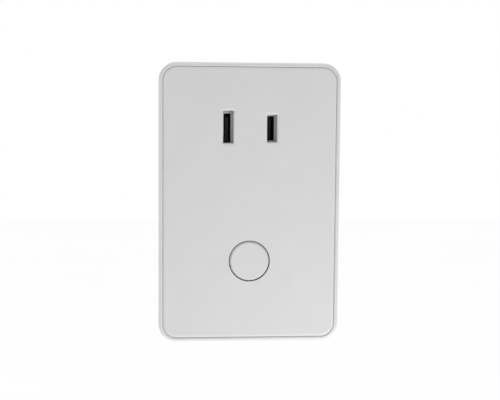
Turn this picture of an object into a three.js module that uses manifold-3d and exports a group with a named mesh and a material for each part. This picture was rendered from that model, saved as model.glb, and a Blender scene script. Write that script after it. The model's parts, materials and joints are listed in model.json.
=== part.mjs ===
// A plug-in smart plug with one polarised two-slot outlet, a push button, and its mains and radio parts.
// Millimetres. +Z is up, +X is right seen from the front, and +Y points into the wall. The origin lies on
// the flat rear face, midway between the two blades. Every piece is its own mesh.
import * as THREE from "three";
import { mergeVertices } from "three/addons/utils/BufferGeometryUtils.js";
import Module from "manifold-3d";

const wasm = await Module();
wasm.setup();

// ---- Driving dimensions -------------------------------------------------------------------------------

const GAP = 0.3; // clearance between neighbouring pieces that don't touch

// Housing, seen from the front; the outlet sits above its middle
const BODY_WIDTH = 52.7;
const BODY_HEIGHT = 81.2;
const BODY_MIDDLE = -22.1; // height of the housing's middle below the outlet
const BODY_CORNER = 5.2;
const BODY_EDGE = 1.1; // rounding of the front and rear edges
const COVER_FACE = -30;
const RIM_FACE = -29.7;
const RIM_WIDTH = 1.25;
const REAR_WALL = 2.2;
const SIDE_WALL = 2.3;
const COVER_THICKNESS = 2.4;
const COVER_EDGE = 0.4;
const LIP_DEPTH = 2;
const LIP_WALL = 1;

// Outlet and blades
const BLADE_PITCH = 12.7;
const BLADE_THICKNESS = 1.5;
const BLADE_LENGTH = 17;
const BLADE_HOLE = 3.2;
const BLADE_HOLE_AT = 11.7;
const NEUTRAL_MOUTH = { width: 3.05, height: 9.4, at: 0 }; // slot openings in the front cover
const LINE_MOUTH = { width: 2.9, height: 7.9, at: -0.35 };
const SIDES = {
  neutral: { x: -BLADE_PITCH / 2, blade: 7.9, slot: 8.4, contact: 6.6, opening: NEUTRAL_MOUTH },
  line: { x: BLADE_PITCH / 2, blade: 6.35, slot: 7, contact: 6.2, opening: LINE_MOUTH },
};
const MOUTH_LEAD = 0.45; // chamfer round the openings
const MOUTH_CORNER = 0.2;
const OUTLET_AT = -0.35; // height of the middle of the carrier's slots and of the contacts
const SLOT_WIDTH = 2;
const SLOT_SHIFT = -0.22; // the carrier's slots are eased on one side only

// Button and its switch
const BUTTON_AT = -38.95;
const BUTTON_RADIUS = 5.6;
const BUTTON_HOLE = 5.87;
const BUTTON_TRAVEL = 0.5;
const FLANGE_RADIUS = 6.5;
const PLUNGER_TRAVEL = 0.3;

// Boards and where they lie
const POWER_BOARD = { rear: -7.4, front: -9, width: 46, low: -60, high: 15.8, notch: 7.8 };
const CONTROL_BOARD = { rear: -19.8, front: -21, width: 34, low: -60, high: -21 };
const BOARD_SCREWS = [
  [-19.5, -10.2],
  [19.5, -50.2],
];
const CONTROL_SCREWS = [
  [-13.5, -24.8],
  [13.5, -55.5],
];
const PILLARS = [...BOARD_SCREWS, [19.5, -10.2], [-19.5, -50.2]];

// Fasteners, and the posts and bosses that they join
const HOUSING_SCREWS = [-1, 1].flatMap((x) => [-1, 1].map((z) => [x * 20.2, BODY_MIDDLE + z * 34.7]));
const HOUSING_SCREW = { head: 2.4, headHeight: 1.6, shank: 1.15, length: 15 };
const BOARD_SCREW = { head: 2.1, headHeight: 1.3, shank: 0.95, length: 5.2 };
const CONTROL_SCREW = { head: 2.1, headHeight: 1.2, shank: 0.95, length: 5.4 };
// Shares of the head's radius, the head's height and the shank's radius.
const RECESS = { reach: 0.62, depth: 0.55, arm: 0.28 };
const POST_RADIUS = 3.5;
const POST_TOP = -12;
const WEB = { out: 3, half: 0.7, reach: 2.6 }; // joins each post to the side wall
const PILLAR_RADIUS = 2.6;
const BOSS_RADIUS = 2.9;
const STANDOFF_RADIUS = 2.4;
const COUNTERBORE = { radius: 2.75, depth: 3 };
const HOUSING_BORE = { pilot: 1.35, clear: 1.6 };
const BOARD_BORE = { pilot: 1.15, clear: 1.2 };

const ARC_STEPS = 3; // a quarter turn of an outline takes twice as many straight steps
const ROUND_STEPS = 24;

// ---- Small tools --------------------------------------------------------------------------------------

const plug = new THREE.Group();

const AXES = {
  x: new THREE.Vector3(1, 0, 0),
  y: new THREE.Vector3(0, 1, 0),
  z: new THREE.Vector3(0, 0, 1),
};

// The plane that an outline is drawn in for each prism direction: (y, z), (x, z) or (x, y).
const DRAWN_IN = {
  x: [AXES.y, AXES.z, AXES.x],
  y: [AXES.x, AXES.z, AXES.y.clone().negate()],
  z: [AXES.x, AXES.y, AXES.z],
};

// A closed geometry as a manifold solid, with its shared vertices merged.
function solid(geometry) {
  const bare = geometry.clone();
  bare.deleteAttribute("normal");
  bare.deleteAttribute("uv");
  const merged = mergeVertices(bare, 1e-4);
  return new wasm.Manifold(
    new wasm.Mesh({
      numProp: 3,
      vertProperties: merged.attributes.position.array,
      triVerts: new Uint32Array(merged.index.array),
    }),
  );
}

// A prism of an outline along an axis, between two places on it. A bevel above 0 draws both ends in, and
// one below 0 flares them out.
function prism(axis, outline, low, high, bevel = 0, bevelSteps = 1) {
  const depth = Math.abs(bevel);
  const geometry = new THREE.ExtrudeGeometry(outline, {
    depth: high - low - 2 * depth,
    curveSegments: ARC_STEPS,
    bevelEnabled: bevel !== 0,
    bevelThickness: depth,
    bevelSize: bevel,
    bevelOffset: -bevel,
    bevelSegments: bevelSteps,
  });
  geometry.translate(0, 0, depth);
  geometry.applyMatrix4(new THREE.Matrix4().makeBasis(...DRAWN_IN[axis]));
  const start = AXES[axis].clone().multiplyScalar(axis === "y" ? high : low);
  geometry.translate(...start);
  return solid(geometry);
}

function roundedRectangle(width, height, radius, x = 0, z = 0) {
  const [left, right, low, high] = [x - width / 2, x + width / 2, z - height / 2, z + height / 2];
  const turn = Math.PI / 2;
  return new THREE.Shape()
    .absarc(right - radius, low + radius, radius, -turn, 0)
    .absarc(right - radius, high - radius, radius, 0, turn)
    .absarc(left + radius, high - radius, radius, turn, 2 * turn)
    .absarc(left + radius, low + radius, radius, 2 * turn, 3 * turn);
}

function polygon(points) {
  return new THREE.Shape(points.map(([u, v]) => new THREE.Vector2(u, v)));
}

// The outline of a bent strip of even thickness whose middle line runs through the points.
function strip(points, thickness) {
  const line = points.map(([u, v]) => new THREE.Vector2(u, v));
  const sides = [1, -1].map((side) =>
    line.map((point, i) => {
      const into = point.clone().sub(line[Math.max(i - 1, 0)]);
      const out = line[Math.min(i + 1, line.length - 1)].clone().sub(point);
      const [a, b] = [into.lengthSq() ? into : out, out.lengthSq() ? out : into].map((v) =>
        v.clone().normalize(),
      );
      const middle = a.clone().add(b).normalize();
      const reach = (side * thickness) / 2 / middle.dot(a);
      return new THREE.Vector2(point.x - middle.y * reach, point.y + middle.x * reach);
    }),
  );
  return new THREE.Shape([...sides[0], ...sides[1].reverse()]);
}

function box(x, y, z) {
  const geometry = new THREE.BoxGeometry(x[1] - x[0], y[1] - y[0], z[1] - z[0]);
  geometry.translate((x[0] + x[1]) / 2, (y[0] + y[1]) / 2, (z[0] + z[1]) / 2);
  return solid(geometry);
}

// A round bar along an axis. Its centre is given in the plane across that axis, as for a prism.
function bar(axis, radius, low, high, [u, v], steps = ROUND_STEPS) {
  const geometry = new THREE.CylinderGeometry(radius, radius, high - low, steps);
  const middle = (low + high) / 2;
  if (axis === "x") geometry.rotateZ(-Math.PI / 2).translate(middle, u, v);
  if (axis === "y") geometry.translate(u, middle, v);
  if (axis === "z") geometry.rotateX(Math.PI / 2).translate(u, v, middle);
  return solid(geometry);
}

function ring(outer, inner, low, high, at, steps = ROUND_STEPS) {
  return bar("y", outer, low, high, at, steps).subtract(bar("y", inner, low - 1, high + 1, at, steps));
}

// A turned solid about an axis along Y. The profile is [radius, y] pairs, from the front to the rear.
function turned(profile, [x, z], steps = ROUND_STEPS) {
  const points = profile.map(([radius, y]) => new THREE.Vector2(radius, y));
  return solid(new THREE.LatheGeometry(points, steps).translate(x, 0, z));
}

const join = (...solids) => solids.flat().reduce((a, b) => a.add(b));
const cut = (from, ...solids) => solids.flat().reduce((a, b) => a.subtract(b), from);

function add(name, shape, color, roughness, metalness = 0) {
  const { vertProperties, triVerts } = shape.getMesh();
  const geometry = new THREE.BufferGeometry()
    .setAttribute("position", new THREE.BufferAttribute(vertProperties, 3))
    .setIndex(new THREE.BufferAttribute(triVerts, 1));
  const material = new THREE.MeshStandardMaterial({ color, roughness, metalness, flatShading: true });
  const mesh = new THREE.Mesh(geometry, material);
  mesh.name = name;
  plug.add(mesh);
}

// A screw along Y with a cross recess. Its head bears on `seat`, and its shank points to the sign.
function screw(name, at, seat, sign, { head, headHeight, shank, length }) {
  const across = head * RECESS.reach;
  const top = seat - sign * headHeight;
  const ends = (a, b) => [Math.min(a, b), Math.max(a, b)];
  const recess = ends(top - sign, top + sign * headHeight * RECESS.depth);
  const arm = shank * RECESS.arm;
  const [x, z] = at;
  const cross = [
    box([x - across, x + across], recess, [z - arm, z + arm]),
    box([x - arm, x + arm], recess, [z - across, z + across]),
  ];
  const body = join(
    bar("y", head, ...ends(top, seat), at, 20),
    bar("y", shank, ...ends(seat, seat + sign * length), at, 12),
  );
  add(name, cut(body, cross), 0x9a9c9e, 0.35, 1);
}

// A span of `half` on either side of a place.
const about = (at, half) => [at - half, at + half];

// A surface-mounted chip with a row of legs along each long side.
function chip(x, z, seat, { length, width, height, legs }) {
  const standOff = 0.2;
  const leg = { halfSheet: 0.12, halfFoot: 0.14, reach: width / 2 + 0.9 };
  const pitch = length / legs;
  const halfLeg = pitch * 0.18;
  const shoulder = seat - height / 2;
  const body = box(about(x, length / 2), [seat - height, seat - standOff], about(z, width / 2));
  const pins = Array.from({ length: legs }, (_, i) => {
    const span = about(x + (i + 0.5 - legs / 2) * pitch, halfLeg);
    const footAt = (side) => about(z + side * leg.reach, leg.halfFoot);
    const feet = [-1, 1].map((side) => box(span, [shoulder, seat], footAt(side)));
    return [box(span, about(shoulder, leg.halfSheet), about(z, leg.reach)), ...feet];
  });
  return join(body, ...pins);
}

// ---- Housing ------------------------------------------------------------------------------------------

const coverBack = COVER_FACE + COVER_THICKNESS;
const mouth = { width: BODY_WIDTH - 2 * RIM_WIDTH, height: BODY_HEIGHT - 2 * RIM_WIDTH };
const cavity = { width: BODY_WIDTH - 2 * SIDE_WALL, height: BODY_HEIGHT - 2 * SIDE_WALL };

function rearHousing() {
  const shell = prism(
    "y",
    roundedRectangle(BODY_WIDTH, BODY_HEIGHT, BODY_CORNER, 0, BODY_MIDDLE),
    RIM_FACE,
    0,
    BODY_EDGE,
    3,
  );
  const mouthCorner = BODY_CORNER - RIM_WIDTH;
  const cavityCorner = BODY_CORNER - SIDE_WALL;
  const hollow = join(
    prism(
      "y",
      roundedRectangle(mouth.width, mouth.height, mouthCorner, 0, BODY_MIDDLE),
      RIM_FACE - 1,
      coverBack,
    ),
    prism(
      "y",
      roundedRectangle(cavity.width, cavity.height, cavityCorner, 0, BODY_MIDDLE),
      coverBack - 1,
      -REAR_WALL,
    ),
  );
  const posts = HOUSING_SCREWS.map((at) => bar("y", POST_RADIUS, POST_TOP, -REAR_WALL / 2, at));
  const webs = HOUSING_SCREWS.map(([x, z]) =>
    box(about(x + Math.sign(x) * WEB.out, WEB.half), [POST_TOP, -1], about(z, WEB.reach)),
  );
  const pillars = PILLARS.map((at) => bar("y", PILLAR_RADIUS, POWER_BOARD.rear, -REAR_WALL / 2, at, 16));
  const pilotEnd = -REAR_WALL - 0.6;
  const bladeEase = 0.2;
  const bores = [
    ...HOUSING_SCREWS.map((at) => bar("y", COUNTERBORE.radius, -COUNTERBORE.depth, 1, at)),
    ...HOUSING_SCREWS.map((at) => bar("y", HOUSING_BORE.clear, POST_TOP - 1, 1, at, 16)),
    ...PILLARS.map((at) => bar("y", BOARD_BORE.pilot, POWER_BOARD.rear - 1, pilotEnd, at, 12)),
    ...Object.values(SIDES).map(({ x, blade }) =>
      box(about(x, BLADE_THICKNESS / 2 + bladeEase), [-REAR_WALL - 1, 1], about(0, blade / 2 + bladeEase)),
    ),
  ];
  add("rear_housing", cut(join(cut(shell, hollow), posts, webs, pillars), bores), 0xe6e6e6, 0.45);
}

const COLLAR = { wall: 1.2, height: 2.6, ease: 0.35 }; // guides the button's flange
const BOSS_BORE_END = -24;
const STANDOFF_BORE_END = -26;

function frontCover() {
  const width = mouth.width - 2 * GAP;
  const height = mouth.height - 2 * GAP;
  const corner = BODY_CORNER - RIM_WIDTH - GAP;
  const outline = (inset) =>
    roundedRectangle(width - 2 * inset, height - 2 * inset, corner - inset, 0, BODY_MIDDLE);
  const plate = join(
    prism("y", outline(0), COVER_FACE, coverBack - COVER_EDGE, COVER_EDGE, 2),
    prism("y", outline(0), COVER_FACE + 1, coverBack),
  );
  const lipInset = (width - cavity.width) / 2 + GAP;
  const lip = cut(
    prism("y", outline(lipInset), coverBack - 1, coverBack + LIP_DEPTH),
    prism("y", outline(lipInset + LIP_WALL), coverBack - 2, coverBack + LIP_DEPTH + 1),
  );
  const bosses = HOUSING_SCREWS.map((at) => bar("y", BOSS_RADIUS, coverBack - 1, POST_TOP, at));
  const standoffs = CONTROL_SCREWS.map((at) =>
    bar("y", STANDOFF_RADIUS, coverBack - 1, CONTROL_BOARD.front, at, 16),
  );
  const { wall, height: collarHeight, ease } = COLLAR;
  const collarRadius = FLANGE_RADIUS + wall;
  const collar = bar("y", collarRadius, coverBack - 1, coverBack + collarHeight, [0, BUTTON_AT], 32);
  const holes = [
    bar("y", BUTTON_HOLE, COVER_FACE - 1, coverBack + 1, [0, BUTTON_AT], 48),
    bar("y", FLANGE_RADIUS + ease, coverBack, coverBack + collarHeight + 1, [0, BUTTON_AT], 32),
    ...HOUSING_SCREWS.map((at) => bar("y", HOUSING_BORE.pilot, BOSS_BORE_END, POST_TOP + 1, at, 12)),
    ...CONTROL_SCREWS.map((at) =>
      bar("y", BOARD_BORE.pilot, STANDOFF_BORE_END, CONTROL_BOARD.front + 1, at, 12),
    ),
    ...Object.values(SIDES).map(({ x, opening }) =>
      prism(
        "y",
        roundedRectangle(opening.width, opening.height, MOUTH_CORNER, x, opening.at),
        COVER_FACE,
        coverBack + 1,
        -MOUTH_LEAD,
      ),
    ),
  ];
  add("front_cover", cut(join(plate, lip, bosses, standoffs, collar), holes), 0xe8e8e8, 0.5);
}

function housingScrews() {
  HOUSING_SCREWS.forEach((at, i) =>
    screw(`housing_screw_${i + 1}`, at, -COUNTERBORE.depth, -1, HOUSING_SCREW),
  );
}

// ---- Blades, contacts and their insulators ------------------------------------------------------------

const CARRIER = {
  halfWidth: 11.6,
  halfHeight: 7.4,
  corner: 1.2,
  pocketWidth: 5,
  pocketEase: 0.25,
  wall: 1.2,
};
const CARRIER_HOLLOW = { halfWidth: 2.4, wall: 1.5, front: 4 };
const HOLDER = { halfWidth: 12, halfHeight: 6.8, corner: 1.5, front: -5.2, ease: 0.1 };
const HOLDER_RIB = { halfWidth: 2, inset: 1, overlap: 0.5 };
const FLANGE = { rear: -5.3, front: -6.9, extra: 1.4 }; // the blade's shoulders, in front of the holder
const TAIL = { front: -10.4, halfWidth: 2 };
const TIP_TAPER = 1.6;
const BLADE_EDGE = 0.25;
const CONTACT = { sheet: 0.5, base: -11.4, tailEnd: -12, tailHalfWidth: 1.5, foot: 0.9 };
const CONTACT_LEAF = [
  [2.1, CONTACT.base],
  [2.1, -15],
  [0.62, -22.2],
  [1.35, -25.4],
]; // half-gap between the leaves along Y
const CONTACT_NOTCH = { halfWidth: 1.8, front: -12 }; // the carrier's opening for each contact's tail

function blade(name, { x, blade: width }) {
  const tip = BLADE_LENGTH;
  const half = width / 2;
  const wide = half + FLANGE.extra;
  const taper = TIP_TAPER;
  const outline = polygon([
    [TAIL.front, -TAIL.halfWidth],
    [FLANGE.front, -TAIL.halfWidth],
    [FLANGE.front, -wide],
    [FLANGE.rear, -wide],
    [FLANGE.rear, -half],
    [tip - taper, -half],
    [tip, -half + taper],
    [tip, half - taper],
    [tip - taper, half],
    [FLANGE.rear, half],
    [FLANGE.rear, wide],
    [FLANGE.front, wide],
    [FLANGE.front, TAIL.halfWidth],
    [TAIL.front, TAIL.halfWidth],
  ]);
  const side = BLADE_THICKNESS / 2;
  const body = prism("x", outline, x - side, x + side, BLADE_EDGE);
  const hole = bar("x", BLADE_HOLE / 2, ...about(x, BLADE_THICKNESS), [BLADE_HOLE_AT, 0], 20);
  add(name, cut(body, hole), 0xc9c6bd, 0.3, 1);
}

function bladeHolder() {
  const block = prism(
    "y",
    roundedRectangle(2 * HOLDER.halfWidth, 2 * HOLDER.halfHeight, HOLDER.corner),
    HOLDER.front,
    -REAR_WALL,
  );
  const { halfWidth, inset, overlap } = HOLDER_RIB;
  const rib = box(
    about(0, halfWidth),
    [POWER_BOARD.rear, HOLDER.front + overlap],
    about(0, HOLDER.halfHeight - inset),
  );
  const { ease } = HOLDER;
  const passages = Object.values(SIDES).map(({ x, blade: width }) =>
    box(about(x, BLADE_THICKNESS / 2 + ease), [HOLDER.front - 1, 0], about(0, width / 2 + ease)),
  );
  add("blade_holder", cut(join(block, rib), passages), 0x2f3133, 0.6);
}

// A female contact: two spring leaves that pinch the blade, on a base with a tail down to the board.
function contact(name, { x, contact: width }) {
  const { sheet, base, tailEnd, tailHalfWidth, foot } = CONTACT;
  const mirrored = CONTACT_LEAF.map(([u, v]) => [-u, v]).reverse();
  const outline = strip(
    [...mirrored, ...CONTACT_LEAF].map(([u, v]) => [x + u, v]),
    sheet,
  );
  const tailLine = [
    [base, 1],
    [base, tailEnd],
    [POWER_BOARD.front + foot, tailEnd],
  ];
  const tail = prism("x", strip(tailLine, sheet), ...about(x, tailHalfWidth));
  const leaves = prism("z", outline, ...about(OUTLET_AT, width / 2));
  add(name, join(leaves, tail), 0xc4bfb2, 0.35, 1);
}

function contactCarrier() {
  const { halfWidth, halfHeight, corner, pocketWidth, pocketEase, wall } = CARRIER;
  const block = prism(
    "y",
    roundedRectangle(2 * halfWidth, 2 * halfHeight, corner),
    coverBack,
    POWER_BOARD.front,
  );
  const behind = POWER_BOARD.front + 1;
  const openings = Object.values(SIDES).flatMap(({ x, slot }) => [
    box(
      about(x + SLOT_SHIFT, SLOT_WIDTH / 2),
      [coverBack - 1, coverBack + wall + 1],
      about(OUTLET_AT, slot / 2),
    ),
    box(
      about(x, pocketWidth / 2),
      [coverBack + wall, behind],
      about(OUTLET_AT, slot / 2 + pocketEase),
    ),
    box(about(x, CONTACT_NOTCH.halfWidth), [CONTACT_NOTCH.front, behind], [-halfHeight - 1, 0]),
  ]);
  const { halfWidth: hollowHalf, wall: hollowWall, front: hollowFront } = CARRIER_HOLLOW;
  const middleHollow = box(
    about(0, hollowHalf),
    [coverBack + hollowFront, behind],
    about(0, halfHeight - hollowWall),
  );
  add("contact_carrier", cut(block, openings, middleHollow), 0xd9d9d6, 0.55);
}

// ---- Button, switch and light -------------------------------------------------------------------------

const FLANGE_FRONT = coverBack + 0.15;
const FLANGE_REAR = FLANGE_FRONT + 0.8;
const PLUNGER_TIP = -25.3;
const STEM_END = PLUNGER_TIP - (BUTTON_TRAVEL - PLUNGER_TRAVEL) - 0.02;
const STEM_RADIUS = 1.5;
const LIGHT_GUIDE = {
  inner: 4.5,
  outer: 6.3,
  front: FLANGE_REAR + BUTTON_TRAVEL + 0.15,
  rear: -22,
  foot: 0.5,
};
const SWITCH = { half: 3, height: 3.2, corner: 0.5, plate: 0.3, bore: 2.5, floor: 1.2, opening: 1.8 };
const DOME = { radius: 2.3, shoulder: 1.2, rise: 0.75, sheet: 0.15 };
const PLUNGER = { tip: 1.3, radius: 1.6, collar: 2.2, lead: 0.3, ease: 0.1 };
const LED = { halfWidth: 0.45, halfHeight: 0.8, base: 0.45, lensRoot: 0.38, lensRim: 0.3 };
const LED_LENS = { rear: 0.4, shoulder: 0.68, top: 0.72 };

function button() {
  const edge = 0.3;
  add(
    "button_cap",
    turned(
      [
        [0, COVER_FACE],
        [BUTTON_RADIUS - edge, COVER_FACE],
        [BUTTON_RADIUS, COVER_FACE + edge],
        [BUTTON_RADIUS, FLANGE_FRONT],
        [FLANGE_RADIUS, FLANGE_FRONT],
        [FLANGE_RADIUS, FLANGE_REAR],
        [STEM_RADIUS, FLANGE_REAR],
        [STEM_RADIUS, STEM_END],
        [0, STEM_END],
      ],
      [0, BUTTON_AT],
      48,
    ),
    0xe8e8e8,
    0.5,
  );
}

function tactileSwitch() {
  const at = [0, BUTTON_AT];
  const { half, height, corner, plate, bore, floor, opening } = SWITCH;
  const seat = CONTROL_BOARD.front;
  const top = seat - height;
  const square = roundedRectangle(2 * half, 2 * half, corner, ...at);
  const cup = cut(prism("y", square, top, seat), bar("y", bore, top - 1, seat - floor, at));
  add("switch_body", cup, 0x1d1e20, 0.6);
  const cover = cut(prism("y", square, top - plate, top), bar("y", opening, top - 1, top + 1, at));
  add("switch_cover", cover, 0xb7b9bb, 0.35, 1);
  const domeBase = seat - floor;
  const domeTop = domeBase - DOME.rise;
  const domeShoulder = domeBase - DOME.rise * 0.75;
  const dome = [
    [0, domeTop - DOME.sheet],
    [DOME.shoulder, domeShoulder - DOME.sheet],
    [DOME.radius, domeBase - DOME.sheet],
    [DOME.radius, domeBase],
    [DOME.shoulder, domeShoulder],
    [0, domeTop],
  ];
  add("switch_dome", turned(dome, at, 20), 0xc9cbcd, 0.25, 1);
  const collarFront = top + PLUNGER.ease;
  const collarRear = domeTop - DOME.sheet - PLUNGER_TRAVEL - PLUNGER.ease;
  const plunger = [
    [0, PLUNGER_TIP],
    [PLUNGER.tip, PLUNGER_TIP],
    [PLUNGER.radius, PLUNGER_TIP + PLUNGER.lead],
    [PLUNGER.radius, collarFront],
    [PLUNGER.collar, collarFront],
    [PLUNGER.collar, collarRear],
    [0, collarRear],
  ];
  add("switch_plunger", turned(plunger, at, 20), 0x2a2b2d, 0.5);
}

function light() {
  const { inner, outer, front, rear, foot } = LIGHT_GUIDE;
  const seat = CONTROL_BOARD.front;
  const middle = (inner + outer) / 2;
  const feet = [1, 3, 5].map((sixth) => {
    const angle = (sixth * Math.PI) / 3;
    const at = [middle * Math.cos(angle), BUTTON_AT + middle * Math.sin(angle)];
    return bar("y", foot, rear - foot, seat, at, 10);
  });
  add("light_guide", join(ring(outer, inner, front, rear, [0, BUTTON_AT], 32), feet), 0xf2f4f2, 0.3);
  const lens = [
    [0, seat - LED_LENS.top],
    [LED.lensRim, seat - LED_LENS.shoulder],
    [LED.lensRoot, seat - LED_LENS.rear],
    [0, seat - LED_LENS.rear],
  ];
  const base = box(about(middle, LED.halfWidth), [seat - LED.base, seat], about(BUTTON_AT, LED.halfHeight));
  add("status_led", join(base, turned(lens, [middle, BUTTON_AT], 12)), 0xf5f0c8, 0.3);
}

// ---- Boards -------------------------------------------------------------------------------------------

const CIRCUIT_GREEN = 0x1f6b3a;
const TAIL_SLOT = { half: 1.05, ease: 0.3 }; // the board's slot for each blade's tail
const FOOT_SLOT = { half: 1.8, low: -12.6, high: -11.4 }; // and for each contact's foot

const sorted = (a, b) => [Math.min(a, b), Math.max(a, b)];

function powerBoard() {
  const { rear, front, width, low, high, notch } = POWER_BOARD;
  const sheet = box([-width / 2, width / 2], [front, rear], [low, high]);
  const through = [front - 1, rear + 1];
  const corners = HOUSING_SCREWS.map(([x, z]) => {
    const [sideX, sideZ] = [Math.sign(x), Math.sign(z - BODY_MIDDLE)];
    const [outX, outZ] = [x + sideX * notch, z + sideZ * notch];
    const [inX, inZ] = [x - (sideX * notch) / 2, z - (sideZ * notch) / 2];
    return join(
      bar("y", notch / 2, ...through, [x, z]),
      box(sorted(x, outX), through, sorted(inZ, outZ)),
      box(sorted(inX, outX), through, sorted(z, outZ)),
    );
  });
  const cuts = [
    ...corners,
    ...BOARD_SCREWS.map((at) => bar("y", BOARD_BORE.clear, ...through, at, 12)),
    ...Object.values(SIDES).flatMap(({ x }) => [
      box(about(x, TAIL_SLOT.half), through, about(0, TAIL.halfWidth + TAIL_SLOT.ease)),
      box(about(x, FOOT_SLOT.half), through, [FOOT_SLOT.low, FOOT_SLOT.high]),
    ]),
  ];
  add("power_board", cut(sheet, cuts), CIRCUIT_GREEN, 0.45);
  BOARD_SCREWS.forEach((at, i) =>
    screw(`board_screw_${i + 1}`, at, front, 1, BOARD_SCREW),
  );
}

// The sheet is narrow below, where it passes between the lower posts.
const SHEET = { narrow: 15.5, wide: 22, low: -58, step: -46.8, high: -13.6, front: -6.9, rear: -6.6 };

function insulatingSheet() {
  const { narrow, wide, low, step, high, front, rear } = SHEET;
  const outline = polygon([
    [-narrow, low],
    [narrow, low],
    [narrow, step],
    [wide, step],
    [wide, high],
    [-wide, high],
    [-wide, step],
    [-narrow, step],
  ]);
  add("insulating_sheet", prism("y", outline, front, rear), 0xe9e2c4, 0.5);
}

function controlBoard() {
  const { rear, front, width, low, high } = CONTROL_BOARD;
  const outline = roundedRectangle(width, high - low, 1, 0, (high + low) / 2);
  const holes = CONTROL_SCREWS.map((at) => bar("y", BOARD_BORE.clear, front - 1, rear + 1, at, 12));
  add("control_board", cut(prism("y", outline, front, rear), holes), CIRCUIT_GREEN, 0.45);
  CONTROL_SCREWS.forEach((at, i) =>
    screw(`control_screw_${i + 1}`, at, rear, -1, CONTROL_SCREW),
  );
}

const HEADER = { pins: 5, pitch: 2.54, x: 9.5, z: -45.5, halfDepth: 1.25, height: 2.5 };
const HEADER_PIN = { half: 0.32, tip: -17.5, root: -11 };
const SOCKET = { rear: -13, hole: 0.62, holeFront: -18 };

function boardLink() {
  const { pins, pitch, x, z, halfDepth, height } = HEADER;
  const places = Array.from({ length: pins }, (_, i) => x + (i + 0.5 - pins / 2) * pitch);
  const bars = (half, low, high) => places.map((at) => box(about(at, half), [low, high], about(z, half)));
  const moulding = (low, high) => box(about(x, (pins * pitch) / 2), [low, high], about(z, halfDepth));
  const strand = moulding(POWER_BOARD.front - height, POWER_BOARD.front);
  const headerPins = bars(HEADER_PIN.half, HEADER_PIN.tip, HEADER_PIN.root);
  add("board_header", join(strand, headerPins), 0x1b1c1e, 0.5);
  const socket = moulding(CONTROL_BOARD.rear, SOCKET.rear);
  const socketHoles = bars(SOCKET.hole, SOCKET.holeFront, SOCKET.rear + 1);
  add("board_socket", cut(socket, socketHoles), 0x1b1c1e, 0.5);
}

const RADIO = { halfWidth: 8, halfHeight: 5.8, sheet: 0.8, at: -53.2 };
const CAN = { x: -1.2, width: 12, height: 8.4, corner: 0.8, rise: 1.9, sheet: 0.3 };
const RADIO_CHIP = { half: 2.5, height: 0.9 };
const CONTROLLER = { length: 5.2, width: 4.2, height: 1.6, legs: 4 };

function radio() {
  const seat = CONTROL_BOARD.front;
  const top = seat - RADIO.sheet;
  const board = box(about(0, RADIO.halfWidth), [top, seat], about(RADIO.at, RADIO.halfHeight));
  add("radio_board", board, 0x14304a, 0.45);
  const { x, width, height, corner, rise, sheet } = CAN;
  const outline = (inset) =>
    roundedRectangle(width - 2 * inset, height - 2 * inset, corner - inset, x, RADIO.at);
  const can = cut(
    prism("y", outline(0), top - rise, top),
    prism("y", outline(sheet), top - rise + sheet, top + 1),
  );
  add("radio_shield", can, 0xc4c6c8, 0.3, 1);
  const { half, height: chipHeight } = RADIO_CHIP;
  add("radio_chip", box(about(x, half), [top - chipHeight, top], about(RADIO.at, half)), 0x202123, 0.5);
  const controller = chip(10.5, -31, seat, CONTROLLER);
  add("controller_chip", controller, 0x202123, 0.5);
}

// ---- Power supply and metering ------------------------------------------------------------------------

const SEAT = POWER_BOARD.front;

// An electrolytic capacitor: a can with a rolled groove near its foot.
function capacitor(name, at, radius, height) {
  const top = SEAT - height;
  const edge = 0.5;
  const groove = { at: SEAT - 1.6, half: 0.5, depth: 0.4 };
  const foot = { edge: 0.3, height: 0.2 };
  const profile = [
    [0, top],
    [radius - edge, top],
    [radius, top + edge],
    [radius, groove.at - groove.half],
    [radius - groove.depth, groove.at],
    [radius, groove.at + groove.half],
    [radius, SEAT - foot.height],
    [radius - foot.edge, SEAT],
    [0, SEAT],
  ];
  add(name, turned(profile, at, 20), 0x23304a, 0.35);
}

const FUSE = { x: 3.6, radius: 1.8, low: -24.6, high: -14.4, axis: 2.1 };
const VARISTOR = { radius: 3.6, low: -3.6, high: -0.6, z: -19.2, axis: 4.4 };
const LEAD = { half: 0.3, halfWidth: 0.4, length: 2 };
const FILM = { x: -18.6, z: -21.2, width: 6, length: 13, height: 9.6, edge: 0.3, corner: 0.4 };
const CHOKE = { at: [-10.2, -19], rim: 3.2, waist: 2.7, height: 8.6, rimHeight: 1, footHeight: 1.2 };
const BRIDGE = { length: 7, width: 4.2, height: 2.4, legs: 2 };

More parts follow.
